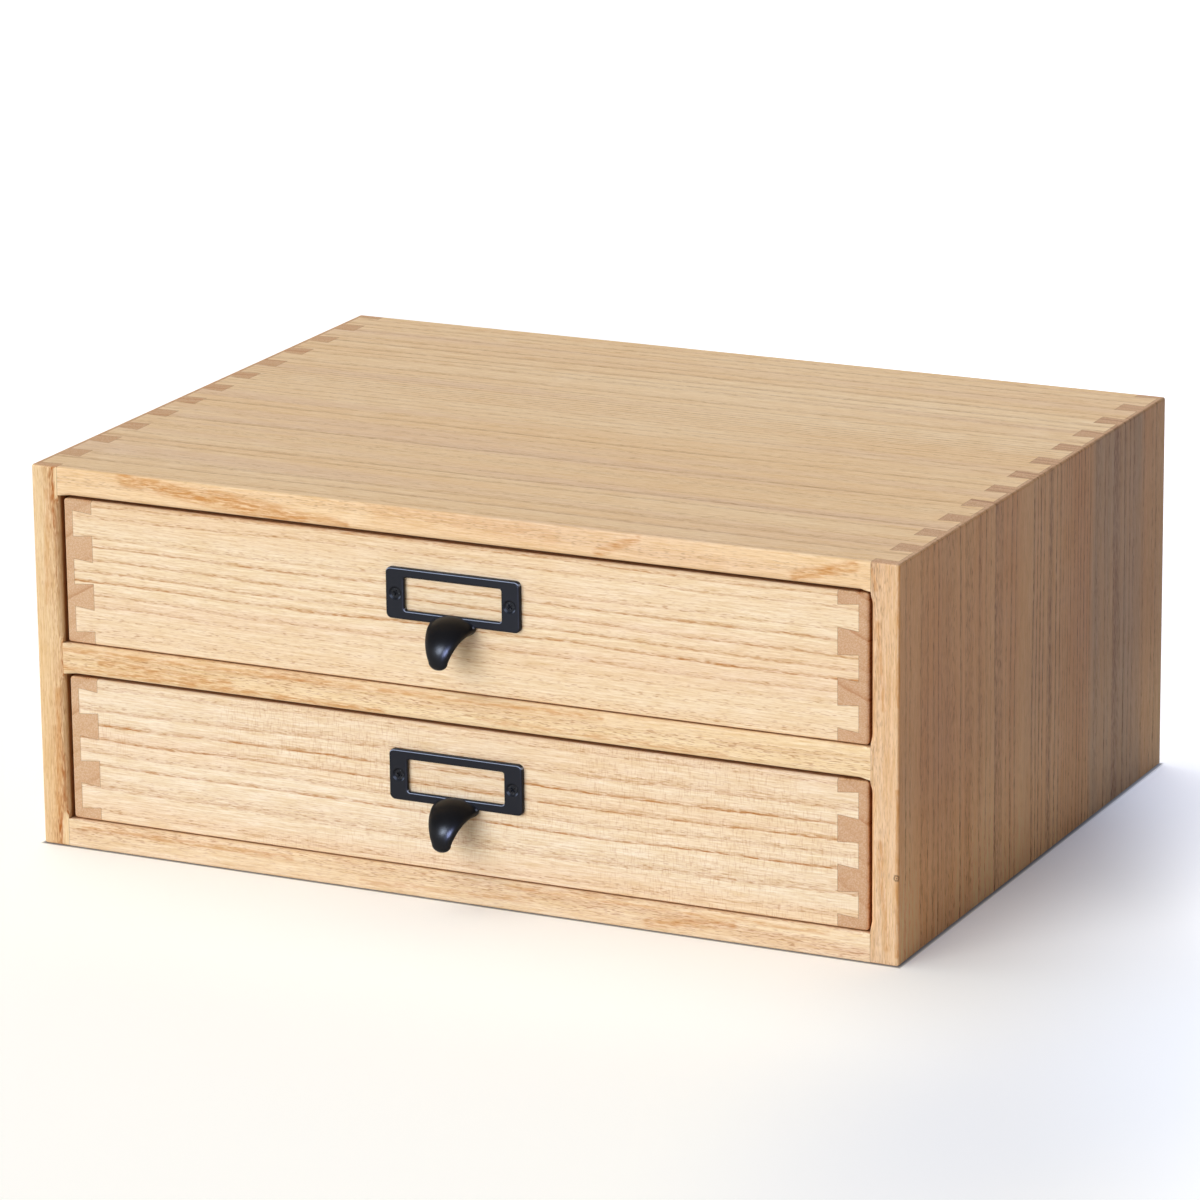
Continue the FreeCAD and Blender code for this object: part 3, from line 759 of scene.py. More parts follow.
RAIL_FLAMES = (
    Flame((-166.0, 71.5), (-30.0, 70.5), 2.2, 0.7),
    Flame((-166.0, 78.5), (60.0, 79.0), 1.8, 0.6),
    Flame((-150.0, 75.0), (-95.0, 73.5), 2.6, 0.65),
    Flame((10.0, 72.5), (110.0, 71.0), 2.0, 0.45),
)
BOTTOM_FLAMES = (
    Flame((78.0, 3.0), (112.0, 7.5), 3.0, 0.55),
    Flame((-160.0, 8.5), (-70.0, 8.0), 1.8, 0.5),
    Flame((-40.0, 3.0), (30.0, 5.0), 2.4, 0.4),
    Flame((20.0, 9.0), (150.0, 9.0), 1.4, 0.45),
)
RIGHT_FLAMES = (
    Flame((177.0, 149.0), (177.0, 98.0), 1.3, 0.6),
    Flame((177.0, 66.0), (177.0, 4.0), 1.4, 0.6),
    Flame((169.0, 128.0), (171.5, 96.0), 1.6, 0.5),
    Flame((170.0, 46.0), (173.0, 6.0), 1.8, 0.55),
    Flame((167.0, 147.0), (168.5, 140.0), 1.2, 0.5),
)
LEFT_FLAMES = (
    Flame((-171.0, 140.0), (-172.5, 96.0), 1.8, 0.45),
    Flame((-169.0, 62.0), (-171.0, 12.0), 2.0, 0.5),
)
# Flames lie on what is further forward than this, and their strands follow the grain's axis
FLAME_FRONT = -132.0
STRANDS = {"X": (130.0, 300.0, 1100.0), "Z": (1100.0, 300.0, 130.0)}
FLAME_COLOUR = srgb(208, 138, 60)
GLUE_COLOUR = srgb(110, 72, 46)
GLUE_STRENGTH = 0.42
GLUE_WIDTH = 0.22
KNOT_COLOUR = srgb(92, 58, 38)
KNOT_STRENGTH = 0.75
KNOT_RADIUS = 1.2
# The fields of a board's finish that go into its figure as they are
FIGURE_FIELDS = (
    "ring_width", "waviness", "plank_width", "seed", "line_strength", "pore_strength",
    "ray_strength", "unevenness", "cool_share", "pale", "warm", "cool", "line", "end",
)


@dataclass(frozen=True)
class Timber:
    """One board's finish: sanded pale wood, sealed without shine.

    Attributes:
        name: The material's name.
        grain: The way in which the fibres run.
        pale: The colour between the rings.
        warm: The colour of the warmer zones.
        line: The colour of the rings' pore bands.
        end: The colour of the cut ends.
        heart: The heart line's place across and deep, in metres.
        ring_width: The distance between rings, in metres.
        waviness: How far the rings sway, in metres.
        plank_width: The width of the planks that the board is glued from, in metres.
        seed: Sets this board's figure apart from the others.
        line_strength: How strongly the pore bands show.
        pore_strength: How strongly single pores show.
        ray_strength: How strongly the fine strokes across the grain show.
        unevenness: How far the rings' spacing varies, in rings.
        cool: The colour of the cooler zones and of the painted sheen.
        cool_share: How strongly the cooler zones show.
        foot: What the broad faces' colour is multiplied by along the object's foot, as painted
            bounce light.
        foot_height: How far up that reaches, in millimetres.
        tight: Where rings crowd: place across, reach, both in metres, and number of rings.
        calm: Where rings fade: place across, reach, both in metres, and how far they fade.
        sheen: Where a painted sheen makes the wood cooler: place across, reach, both in metres, and
            how far.
        tan: What the broad faces' colour is multiplied by, as painted shade.
        tan_back: The same at the board's back edge, or nothing where it's the same all over.
        gap: The rim with painted shade where the board turns into a drawer's gap.
        joint: The dovetails whose glue lines cross this board.
        knot: The place of a pin knot, in metres.
        flames: The flames of stray grain on its front edge.
        handling: How uneven handling has left the roughness.
        specular: How strongly the wood mirrors.
        relief: How strongly the pores' relief shows.
        relief_depth: How deep it is, in millimetres.
    """

    name: str
    grain: Grain
    pale: Colour
    warm: Colour
    line: Colour
    end: Colour = srgb(205, 170, 138)
    heart: Pair = (-0.3, 0.02)
    ring_width: float = 0.007
    waviness: float = 0.0022
    plank_width: float = 1.0
    seed: float = 1.0
    line_strength: float = 0.8
    pore_strength: float = 0.55
    ray_strength: float = 0.0
    unevenness: float = 2.2
    cool: Colour = srgb(232, 200, 172)
    cool_share: float = 0.55
    foot: Triple = (1.0, 1.0, 1.0)
    foot_height: float = 80.0
    tight: Triple = (0.0, 0.01, 0.0)
    calm: Triple = (0.0, 0.01, 0.0)
    sheen: Triple = (0.0, 0.01, 0.0)
    tan: Colour = (1.0, 1.0, 1.0, 1.0)
    tan_back: Colour | None = None
    gap: GapShade = OPENING_GAP_SHADE
    joint: Dovetails | None = None
    knot: Triple | None = None
    flames: tuple[Flame, ...] = ()
    handling: float = 0.12
    specular: float = 0.25
    relief: float = 0.35
    relief_depth: float = 0.08

    def make(self, groups: Groups) -> bpy.types.Material:
        """Makes the board's material.

        Args:
            groups: The shared effects.

        Returns:
            The material.
        """
        surface = Surface(self.name, groups)
        bench = surface.bench
        sides = bench.place_group(groups.sides, Normal=self.turn(bench, surface.normal))
        figure = self.grow(surface, sides.outputs["Ends"])
        colour = self.tan_faces(surface, sides.outputs["Faces"], figure.outputs["Color"])
        colour = self.draw_flames(surface, colour)
        if self.joint:
            colour = self.mark_joint(surface, colour)
        # Painted shade on the rim that turns into a drawer's gap
        rim = bench.place_group(groups.gap, Position=surface.position, **self.gap.inputs())
        colour = bench.blend(rim.outputs["Mask"], colour, bench.tint(colour, GAP_PAINTED_SHADE))
        if self.knot:
            knot = bench.place_group(groups.knot, Position=surface.position, Centre=self.knot,
                                     Radius=KNOT_RADIUS * MILLIMETRE)
            knotty = bench.times(knot.outputs["Mask"], KNOT_STRENGTH)
            colour = bench.blend(knotty, colour, KNOT_COLOUR)
        surface.finish(colour, figure.outputs["Roughness"], self.specular, self.handling)
        surface.emboss(figure.outputs["Height"], self.relief, self.relief_depth)
        return surface.material

    @staticmethod
    def on_front(place: Pair) -> Triple:
        """Turns a place across and up in millimetres into a place on the object's front."""
        return (place[0] * MILLIMETRE, 0.0, place[1] * MILLIMETRE)

    def turn(self, bench: Bench, source: Socket) -> Socket:
        """Turns a vector to the board's own axes: along, across and deep."""
        parts = dict(zip("XYZ", bench.split(source)))
        return bench.join(*(parts[axis] for axis in self.grain.value))

    def grow(self, surface: Surface, ends: Socket) -> bpy.types.Node:
        """Places the figure with this board's rings, pores and colours.

        Args:
            surface: The material being made.
            ends: The mask of the cut ends.

        Returns:
            The figure's node.
        """
        inputs = {name.title(): getattr(self, name) for name in FIGURE_FIELDS}
        for name in ("tight", "calm", "sheen"):
            for part, size in zip(("Place", "Reach", "Share"), getattr(self, name)):
                inputs[f"{name.title()}_{part}"] = size
        return surface.bench.place_group(
            surface.groups.figure, Position=self.turn(surface.bench, surface.position),
            Heart=(0.0, *self.heart), End_Mask=ends, **inputs,
        )

    def tan_faces(self, surface: Surface, faces: Socket, colour: Socket) -> Socket:
        """Paints shade on the broad faces, and bounce light along the foot.

        Args:
            surface: The material being made.
            faces: The mask of the broad faces.
            colour: The wood's colour.

        Returns:
            The colour with the painted shade and bounce light on the faces.
        """
        bench = surface.bench
        _, depth, height = bench.split(surface.position)
        # Painted shade on the broad faces, which may grow darker towards the back
        back_edge = CARCASS_HALF_DEPTH * MILLIMETRE
        tan = bench.blend(bench.fit(depth, -back_edge, back_edge), self.tan,
                          self.tan_back or self.tan)
        # Painted bounce light from the floor along the foot
        low = bench.fit(height, 0.0, self.foot_height * MILLIMETRE, 1.0, 0.0)
        tan = bench.blend(low, tan, bench.scale(tan, self.foot))
        return bench.blend(faces, colour, bench.tint(colour, tan))

    def draw_flames(self, surface: Surface, colour: Socket) -> Socket:
        """Draws the flames of stray grain over a colour.

        Args:
            surface: The material being made.
            colour: The wood's colour.

        Returns:
            The colour with the flames.
        """
        for flame in self.flames:
            mask = surface.bench.place_group(
                surface.groups.flame, Position=surface.position,
                Start=self.on_front(flame.start), End=self.on_front(flame.end),
                Reach=flame.reach * MILLIMETRE, Front=FLAME_FRONT * MILLIMETRE,
                Strands=STRANDS[self.grain.value[0]],
            ).outputs["Mask"]
            share = surface.bench.times(mask, flame.strength)
            colour = surface.bench.blend(share, colour, FLAME_COLOUR)
        return colour

    def mark_joint(self, surface: Surface, colour: Socket) -> Socket:
        """Draws the glue lines over a colour.

        Args:
            surface: The material being made.
            colour: The wood's colour.

        Returns:
            The colour with the lines.
        """
        joint, bench = self.joint, surface.bench
        across, depth, height = bench.split(surface.position)
        row = {"Y": depth, "Z": height}[joint.row_axis]
        line = bench.place_group(
            surface.groups.seam, Row=bench.minus(row, joint.row_start * MILLIMETRE),
            Depth=bench.minus(bench.math("ABSOLUTE", across), joint.root * MILLIMETRE),
            Pitch=joint.pitch * MILLIMETRE, Half_Pin=joint.half_pin * MILLIMETRE,
            Slope=joint.slope, Tail=joint.tail * MILLIMETRE, Line_Width=GLUE_WIDTH * MILLIMETRE,
        ).outputs["Mask"]
        middle = (joint.lowest + joint.highest) / 2 * MILLIMETRE
        reach = (joint.highest - joint.lowest) / 2 * MILLIMETRE
        if reach:
            outside = bench.math("GREATER_THAN", bench.off(height, middle), reach)
            line = bench.times(line, outside)
        return bench.blend(bench.times(line, GLUE_STRENGTH), colour, GLUE_COLOUR)


@dataclass(frozen=True)
class Lacquer:
    """The pulls' finish: satin black lacquer over a casting's faint orange peel.

    Attributes:
        name: The material's name.
        plate: The colour of the plate, lighter than the hook's as a painted reflection.
        hook: The colour of the hook, which fingers keep smoother.
        rim: The colour of the painted highlight on the upper rims.
        roughness: How dull the hook is.
        plate_roughness: How much duller the plate is.
        specular: How strongly the lacquer mirrors.
        handling: How uneven handling has left the roughness.
        plate_front: How far forward the plate's rims with their painted highlight reach, in
            millimetres.
        plate_step: Where the hook's colour turns into the plate's, counted from there.
        rim_rise: The upward turns at which the painted highlight starts and is full.
        rim_fall: The upward turns at which it fades and is all but gone.
        rim_rest: How much is left of it on what faces straight up.
        screw_heights: The heights of the screws, in millimetres.
        sink_edge: How far from those heights rims keep little of their highlight, and all of it, in
            millimetres.
        sink_share: How much of the painted highlight shows there.
        peel: How many dimples the orange peel has per metre.
        relief: How strongly the peel shows.
        relief_depth: How deep it is, in millimetres.
    """

    name: str = "satin_lacquer"
    plate: Colour = srgb(24, 25, 29)
    hook: Colour = srgb(21, 21, 23)
    rim: Colour = srgb(146, 158, 182)
    roughness: float = 0.3
    plate_roughness: float = 0.12
    specular: float = 0.16
    handling: float = 0.1
    plate_front: float = -134.2
    plate_step: Pair = (-1.0, 0.5)
    rim_rise: Pair = (0.2, 0.38)
    rim_fall: Pair = (0.5, 0.68)
    rim_rest: float = 0.04
    screw_heights: Pair = (46.95, 116.95)
    sink_edge: Pair = (3.6, 4.2)
    sink_share: float = 0.3
    peel: float = 700.0
    relief: float = 0.1
    relief_depth: float = 0.02

    def make(self, groups: Groups) -> bpy.types.Material:
        """Makes the lacquer.

        Args:
            groups: The shared effects.

        Returns:
            The material.
        """
        surface = Surface(self.name, groups)
        bench = surface.bench
        _, _, upward = bench.split(surface.normal)
        _, depth, height = bench.split(surface.position)
        on_plate = bench.fit(depth, *((self.plate_front + step) * MILLIMETRE
                                      for step in self.plate_step))
        # Painted highlight on the rims that face upwards, dimmed round the screws
        rim = bench.times(bench.fit(upward, *self.rim_rise),
                          bench.fit(upward, *self.rim_fall, 1.0, self.rim_rest))
        rim = bench.times(rim, bench.math("GREATER_THAN", depth, self.plate_front * MILLIMETRE))
        for middle in self.screw_heights:
            edges = (edge * MILLIMETRE for edge in self.sink_edge)
            away = bench.off(height, middle * MILLIMETRE)
            rim = bench.times(rim, bench.fit(away, *edges, self.sink_share, 1.0))
        # The plate's lighter colour is a painted reflection
        colour = bench.blend(rim, bench.blend(on_plate, self.hook, self.plate), self.rim)
        dull = bench.plus(bench.times(on_plate, self.plate_roughness), self.roughness)
        surface.finish(colour, dull, self.specular, self.handling)
        dimples = bench.noise(bench.scale(surface.position, (self.peel,) * 3), 1.0)
        surface.emboss(dimples, self.relief, self.relief_depth)
        return surface.material


@dataclass(frozen=True)
class BlackedSteel:
    """The screws' finish: blacked steel, brighter where the driver has touched it.

    Attributes:
        name: The material's name.
        dark: The colour of the blacking.
        bare: The colour of the steel where it is rubbed.
        recess: The colour inside the cross recess, painted shade.
        roughness: How dull the steel is.
        specular: How strongly it mirrors.
        handling: How uneven handling has left the roughness.
        grit: How many rubbed specks there are per metre.
        rub_span: The noise at which rubbing starts and is full.
        rub_share: How much of the bare steel shows there.
        shine: How metallic the bare steel is.
        head_front: How far forward the heads' faces reach, in millimetres.
        recess_step: Where the painted shade in the recess begins and is darkest behind them, in
            millimetres.
    """

    name: str = "blacked_steel"
    dark: Colour = srgb(24, 26, 29)
    bare: Colour = srgb(150, 152, 156)
    recess: Colour = srgb(4, 4, 5)
    roughness: float = 0.34
    specular: float = 0.2
    handling: float = 0.2
    grit: float = 1500.0
    rub_span: Pair = (0.55, 0.75)
    rub_share: float = 0.35
    shine: float = 0.8
    head_front: float = -132.65
    recess_step: Pair = (0.03, 0.15)

    def make(self, groups: Groups) -> bpy.types.Material:
        """Makes the steel.

        Args:
            groups: The shared effects.

        Returns:
            The material.
        """
        surface = Surface(self.name, groups)
        bench = surface.bench
        rubbed = bench.noise(bench.scale(surface.position, (self.grit,) * 3))
        rubbed = bench.fit(rubbed, *self.rub_span, 0.0, self.rub_share)
        _, depth, _ = bench.split(surface.position)
        # Painted shade inside the cross recess
        recess_shade = bench.fit(depth, *((self.head_front + step) * MILLIMETRE
                                  for step in self.recess_step))
        colour = bench.blend(recess_shade, bench.blend(rubbed, self.dark, self.bare), self.recess)
        surface.finish(colour, self.roughness, self.specular, self.handling)
        bench.feed(surface.shader.inputs["Metallic"], bench.times(rubbed, self.shine))
        return surface.material


def dress(node: str, material: bpy.types.Material) -> None:
    """Gives a node of the frame its material.

    Args:
        node: The node's name.
        material: Its finish.
    """
    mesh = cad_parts[node].data
    mesh.materials.clear()
    mesh.materials.append(material)
    LOG.info("%s wears %s", node, material.name)


CREAM = srgb(252, 229, 194)
VANILLA = srgb(247, 216, 176)
TAN_LINE = srgb(192, 124, 42)
HONEY = srgb(246, 212, 168)
AMBER = srgb(238, 195, 146)
BROWN_LINE = srgb(182, 104, 34)
ROSE = srgb(243, 209, 166)
CUT_END = srgb(208, 166, 124)


@dataclass
class Carcass:
    """The box that stands still: four dovetailed boards, a rail, runners and a back."""

    groups: Groups
    # Each board's broad faces are multiplied by a painted shade
    top: Timber = Timber(
        "top_board", Grain.WIDTH_FLAT, srgb(254, 225, 184), srgb(247, 210, 162),
        srgb(164, 104, 46), heart=(-0.42, -0.06), ring_width=0.0078, waviness=0.0018,
        plank_width=0.14, seed=3.0, line_strength=0.44, pore_strength=0.4, unevenness=3.0,
        cool=srgb(240, 204, 170), end=srgb(200, 154, 116), tan=(0.9, 0.9, 0.9, 1.0),
        tight=(0.03, 0.022, 9.0), joint=CARCASS_JOINT, flames=TOP_FLAMES,
    )
    bottom: Timber = Timber(
        "bottom_board", Grain.WIDTH_FLAT, srgb(254, 233, 200), srgb(252, 226, 188), BROWN_LINE,
        heart=(-0.4, 0.1), ring_width=0.006, plank_width=0.14, seed=11.0,
        cool=srgb(246, 214, 180), end=CUT_END, joint=CARCASS_JOINT, flames=BOTTOM_FLAMES,
    )
    left: Timber = Timber(
        "left_side", Grain.HEIGHT, srgb(251, 225, 182), srgb(243, 208, 158), BROWN_LINE,
        heart=(-0.36, -0.1), ring_width=0.006, plank_width=0.13, seed=17.0, cool=ROSE,
        end=CUT_END, tan=(0.92, 0.9, 0.88, 1.0), joint=CARCASS_JOINT, flames=LEFT_FLAMES,
    )
    # The right side carries painted shade that darkens towards the back, painted bounce light at its
    # foot and a painted sheen
    right: Timber = Timber(
        "right_side", Grain.HEIGHT, srgb(252, 222, 183), srgb(236, 191, 143),
        srgb(128, 60, 16), heart=(-0.4, 0.12), ring_width=0.008, waviness=0.0022,
        seed=23.0, line_strength=0.78, unevenness=5.0, cool_share=0.15, foot=(1.52, 1.68, 1.82),
        tight=(0.038, 0.028, 8.0), sheen=(0.082, 0.03, 0.7), cool=srgb(210, 196, 180),
        end=srgb(208, 166, 128), tan=(0.87, 0.66, 0.49, 1.0), tan_back=(0.66, 0.5, 0.38, 1.0),
        joint=CARCASS_JOINT, knot=(0.1768, -0.1331, 0.0335), flames=RIGHT_FLAMES,
    )
    rail: Timber = Timber(
        "divider_rail", Grain.WIDTH_FLAT, srgb(254, 232, 192), srgb(251, 221, 175), BROWN_LINE,
        heart=(-0.2, 0.1), ring_width=0.006, seed=29.0, line_strength=0.6, cool=ROSE,
        end=CUT_END, flames=RAIL_FLAMES,
    )
    back: Timber = Timber("back_panel", Grain.WIDTH, VANILLA, HONEY, TAN_LINE, seed=37.0)
    inner: Timber = Timber("runner_wood", Grain.DEPTH, HONEY, AMBER, BROWN_LINE, seed=31.0)

    def dress(self) -> None:
        """Gives each board its finish."""
        for timber, *nodes in (
            (self.top, "carcass_top"),
            (self.bottom, "carcass_bottom"),
            (self.left, "carcass_side_left"),
            (self.right, "carcass_side_right"),
            (self.rail, "divider_rail"),
            (self.back, "carcass_back_panel"),
            (self.inner, "runner_left", "runner_right"),
        ):
            material = timber.make(self.groups)
            for node in nodes:
                dress(node, material)


UPPER_FRONT = Timber(
    "upper_front", Grain.WIDTH, CREAM, VANILLA, TAN_LINE, heart=(-0.3, 0.05),
    ring_width=0.0046, waviness=0.0026, seed=41.0, cool=srgb(250, 222, 190),
    calm=(0.086, 0.013, 0.85), gap=DRAWER_GAP_SHADE, joint=DRAWER_JOINTS[Level.UPPER],
)
LOWER_FRONT = Timber(
    "lower_front", Grain.WIDTH, srgb(254, 235, 205), srgb(250, 223, 187), TAN_LINE,
    heart=(-0.34, -0.03), ring_width=0.0066, waviness=0.002, seed=47.0, ray_strength=0.24,
    cool=srgb(252, 227, 198), gap=DRAWER_GAP_SHADE, joint=DRAWER_JOINTS[Level.LOWER],
)


@dataclass
class Drawer:
    """A drawer of five boards.

    Attributes:
        groups: The shared effects.
        level: Which drawer it is.
        front: Its front's finish.
        side_seed: How far the sides' seed is from the front's.
        back_seed: The same for the back.
        bottom_seed: The same for the bottom.
        left_end: The colour of the left side's cut ends.
        right_end: The same for the right side, a little darker as painted shade.
    """

    groups: Groups
    level: Level
    front: Timber
    side_seed: float = 12.0
    back_seed: float = 19.0
    bottom_seed: float = 25.0
    left_end: Colour = srgb(222, 184, 144)
    right_end: Colour = srgb(214, 174, 136)

    def dress(self) -> None:
        """Gives each board its finish."""
        drawer = f"{self.level.value}_drawer"
        joint = DRAWER_JOINTS[self.level]
        boards = {f"{drawer}_front": self.front}
        for name, end in (("side_left", self.left_end), ("side_right", self.right_end)):
            boards[f"{drawer}_{name}"] = Timber(
                f"{drawer}_{name}", Grain.DEPTH, HONEY, AMBER, BROWN_LINE, end=end,
                heart=(-0.2, 0.0), seed=self.front.seed + self.side_seed, gap=DRAWER_GAP_SHADE,
                joint=joint,
            )
        boards[f"{drawer}_back"] = Timber(
            f"{drawer}_back", Grain.WIDTH, VANILLA, HONEY, TAN_LINE,
            seed=self.front.seed + self.back_seed, gap=DRAWER_GAP_SHADE, joint=joint,
        )
        boards[f"{drawer}_bottom"] = Timber(
            f"{drawer}_bottom", Grain.WIDTH_FLAT, CREAM, VANILLA, TAN_LINE, heart=(-0.3, -0.1),
            plank_width=0.1, seed=self.front.seed + self.bottom_seed, line_strength=0.45,
            gap=DRAWER_GAP_SHADE,
        )
        for node, timber in boards.items():
            dress(node, timber.make(self.groups))


@dataclass
class Pull:
    """A label-holder pull with its two screws."""

    lacquer: bpy.types.Material
    steel: bpy.types.Material
    level: Level

    def dress(self) -> None:
        """Lacquers the casting and blacks the screws."""
        dress(f"{self.level.value}_pull", self.lacquer)
        dress(f"{self.level.value}_pull_screws", self.steel)


@dataclass(frozen=True)
class Fade:
    """A value that changes over the floor.

    Attributes:
        measure: What it changes with: DISTANCE from a place, or DOT_PRODUCT with a way.
        mark: That place or way, in metres.
        span: The measures at which the change starts and ends, in metres.
        results: The values there.
    """

    measure: str
    mark: Triple
    span: Pair
    results: Pair = (0.0, 1.0)

    def read(self, bench: Bench, place: Socket) -> Socket:
        """Returns the value at a place."""
        return bench.fit(bench.measure(self.measure, place, self.mark), *self.span, *self.results)


@dataclass(frozen=True)
class Floor:
    """A wide white floor that keeps the object's shadow, with painted shadow and painted light over
    it.

    Attributes:
        half_side: Half the length of its sides, in metres.
        bounce: Its colour in all light but what the camera sees.
        near: Its darker colour beside the object, where the camera sees it, as painted shadow.
        before: Its colour further out, before the object.
        behind: Its colour further out, behind the object.
        depth_span: Where before turns into behind, in metres.
        squeeze: What makes a circle of the near colour's ellipse.
        further: The share of the further colours, over the squeezed floor.
        roughness: How dull the floor is.
        glow: How much the floor's own brightness adds where it is seen.
        glow_colour: The colour of that brightness.
        core: The share of it that is left, which is least at the object's right side as painted
            shadow.
        rear: How much more it adds behind the object's right, as painted light.
        window: How strongly a window's light shows to the right.
        sky: The colour of that light.
        foot_width: How wide the painted shadow along the object's foot is, in millimetres.
        foot_share: How bright the floor is under that painted shadow, right beside the foot.
    """

    half_side: float = 12.0
    bounce: Colour = (0.68, 0.64, 0.58, 1.0)
    near: Colour = (0.71, 0.715, 0.718, 1.0)
    before: Colour = (0.89, 0.86, 0.765, 1.0)
    behind: Colour = (0.98, 0.96, 0.9, 1.0)
    depth_span: Pair = (-0.15, 0.15)
    squeeze: Triple = (1.0, 0.5, 0.0)
    further: Fade = Fade("DISTANCE", (0.275, -0.125, 0.0), (0.01, 0.125))
    roughness: float = 0.9
    glow: float = 0.27
    glow_colour: Triple = (0.86, 0.88, 1.0)
    core: Fade = Fade("DISTANCE", (0.19, 0.02, 0.0), (0.02, 0.12), (0.6, 1.0))
    rear: Fade = Fade("DOT_PRODUCT", (0.8, 0.6, 0.0), (0.16, 0.22), (0.0, 0.2))
    window: Fade = Fade("DOT_PRODUCT", (0.9, 0.44, 0.0), (0.12, 0.225))
    sky: Triple = (0.05, 0.085, 0.16)
    foot_width: float = 1.8
    foot_share: float = 0.25

    def build(self) -> None:
        """Lays the floor."""
        mesh = bpy.data.meshes.new("floor")
        far = self.half_side
        corners = [(-far, -far, 0.0), (far, -far, 0.0), (far, far, 0.0), (-far, far, 0.0)]
        mesh.from_pydata(corners, [], [(0, 1, 2, 3)])
        floor = bpy.data.objects.new("floor", mesh)
        bpy.context.scene.collection.objects.link(floor)
        surface = Surface("white_floor")
        bench, place = surface.bench, surface.position
        rays = bench.node("ShaderNodeLightPath").outputs
        # Painted shadow: a darker line along the object's foot, and the near colour beside it
        foot = self.mark_foot(surface)
        _, depth, _ = bench.split(place)
        open_floor = bench.blend(bench.fit(depth, *self.depth_span), self.before, self.behind)
        further = self.further.read(bench, bench.scale(place, self.squeeze))
        paper = bench.tint(bench.blend(further, self.near, open_floor), foot)
        colour = bench.blend(rays["Is Camera Ray"], self.bounce, paper)
        surface.finish(colour, self.roughness, 0.0)
        # Painted shadow at the object's right side, painted light behind its right and a window's
        # light to the right
        glow = bench.times(self.core.read(bench, place), self.glow)
        glow = bench.spread(bench.plus(glow, self.rear.read(bench, place)), self.glow_colour)
        sky = bench.spread(self.window.read(bench, place), self.sky)
        light = bench.scale(bench.vector("ADD", glow, sky), bench.join(foot, foot, foot))
        bench.feed(surface.shader.inputs["Emission Color"], light)
        bench.feed(surface.shader.inputs["Emission Strength"],
                   bench.most(rays["Is Camera Ray"], rays["Is Glossy Ray"],
                              rays["Is Transmission Ray"]))
        mesh.materials.append(surface.material)

    def mark_foot(self, surface: Surface) -> Socket:
        """Finds the painted shadow along the object's foot.

        Args:
            surface: The material being made.

        Returns:
            A value that is 1 away from the foot and low right beside it.
        """
        bench = surface.bench
        across, depth, _ = bench.split(surface.position)
        gaps = [
            bench.minus(bench.math("ABSOLUTE", place), half * MILLIMETRE)
            for place, half in ((across, CARCASS_HALF_WIDTH), (depth, CARCASS_HALF_DEPTH))
        ]
        return bench.fit(bench.most(*gaps), 0.0, self.foot_width * MILLIMETRE,
                         self.foot_share, 1.0)


@dataclass(frozen=True)
class Light:
    """A light that faces the object.

    Attributes:
        name: The light's name.
        strength: A window's strength in watts per square metre, or a card's brightness, where
            1 is white.
        size: A window's width as the object sees it, in degrees, or a card's side in metres.
        azimuth: How far it stands to the right of the front, in degrees.
        elevation: How high it stands, in degrees.
        colour: Its colour.
    """

    name: str
    strength: float
    size: float
    azimuth: float
    elevation: float
    colour: Triple = (1.0, 1.0, 1.0)


WINDOWS = (
    Light("front_window", 2.42, 46.0, -20.0, 15.0, (0.96, 0.98, 1.03)),
    Light("top_window", 1.65, 50.0, -97.0, 66.0),
    Light("back_window", 0.6, 50.0, -160.0, 20.0),
)
CARDS = (
    Light("left_card", 46.0, 0.36, -12.0, 20.0, (0.7, 0.8, 1.0)),
    Light("right_card", 70.0, 0.4, 18.0, 10.0, (0.48, 0.57, 1.0)),
)


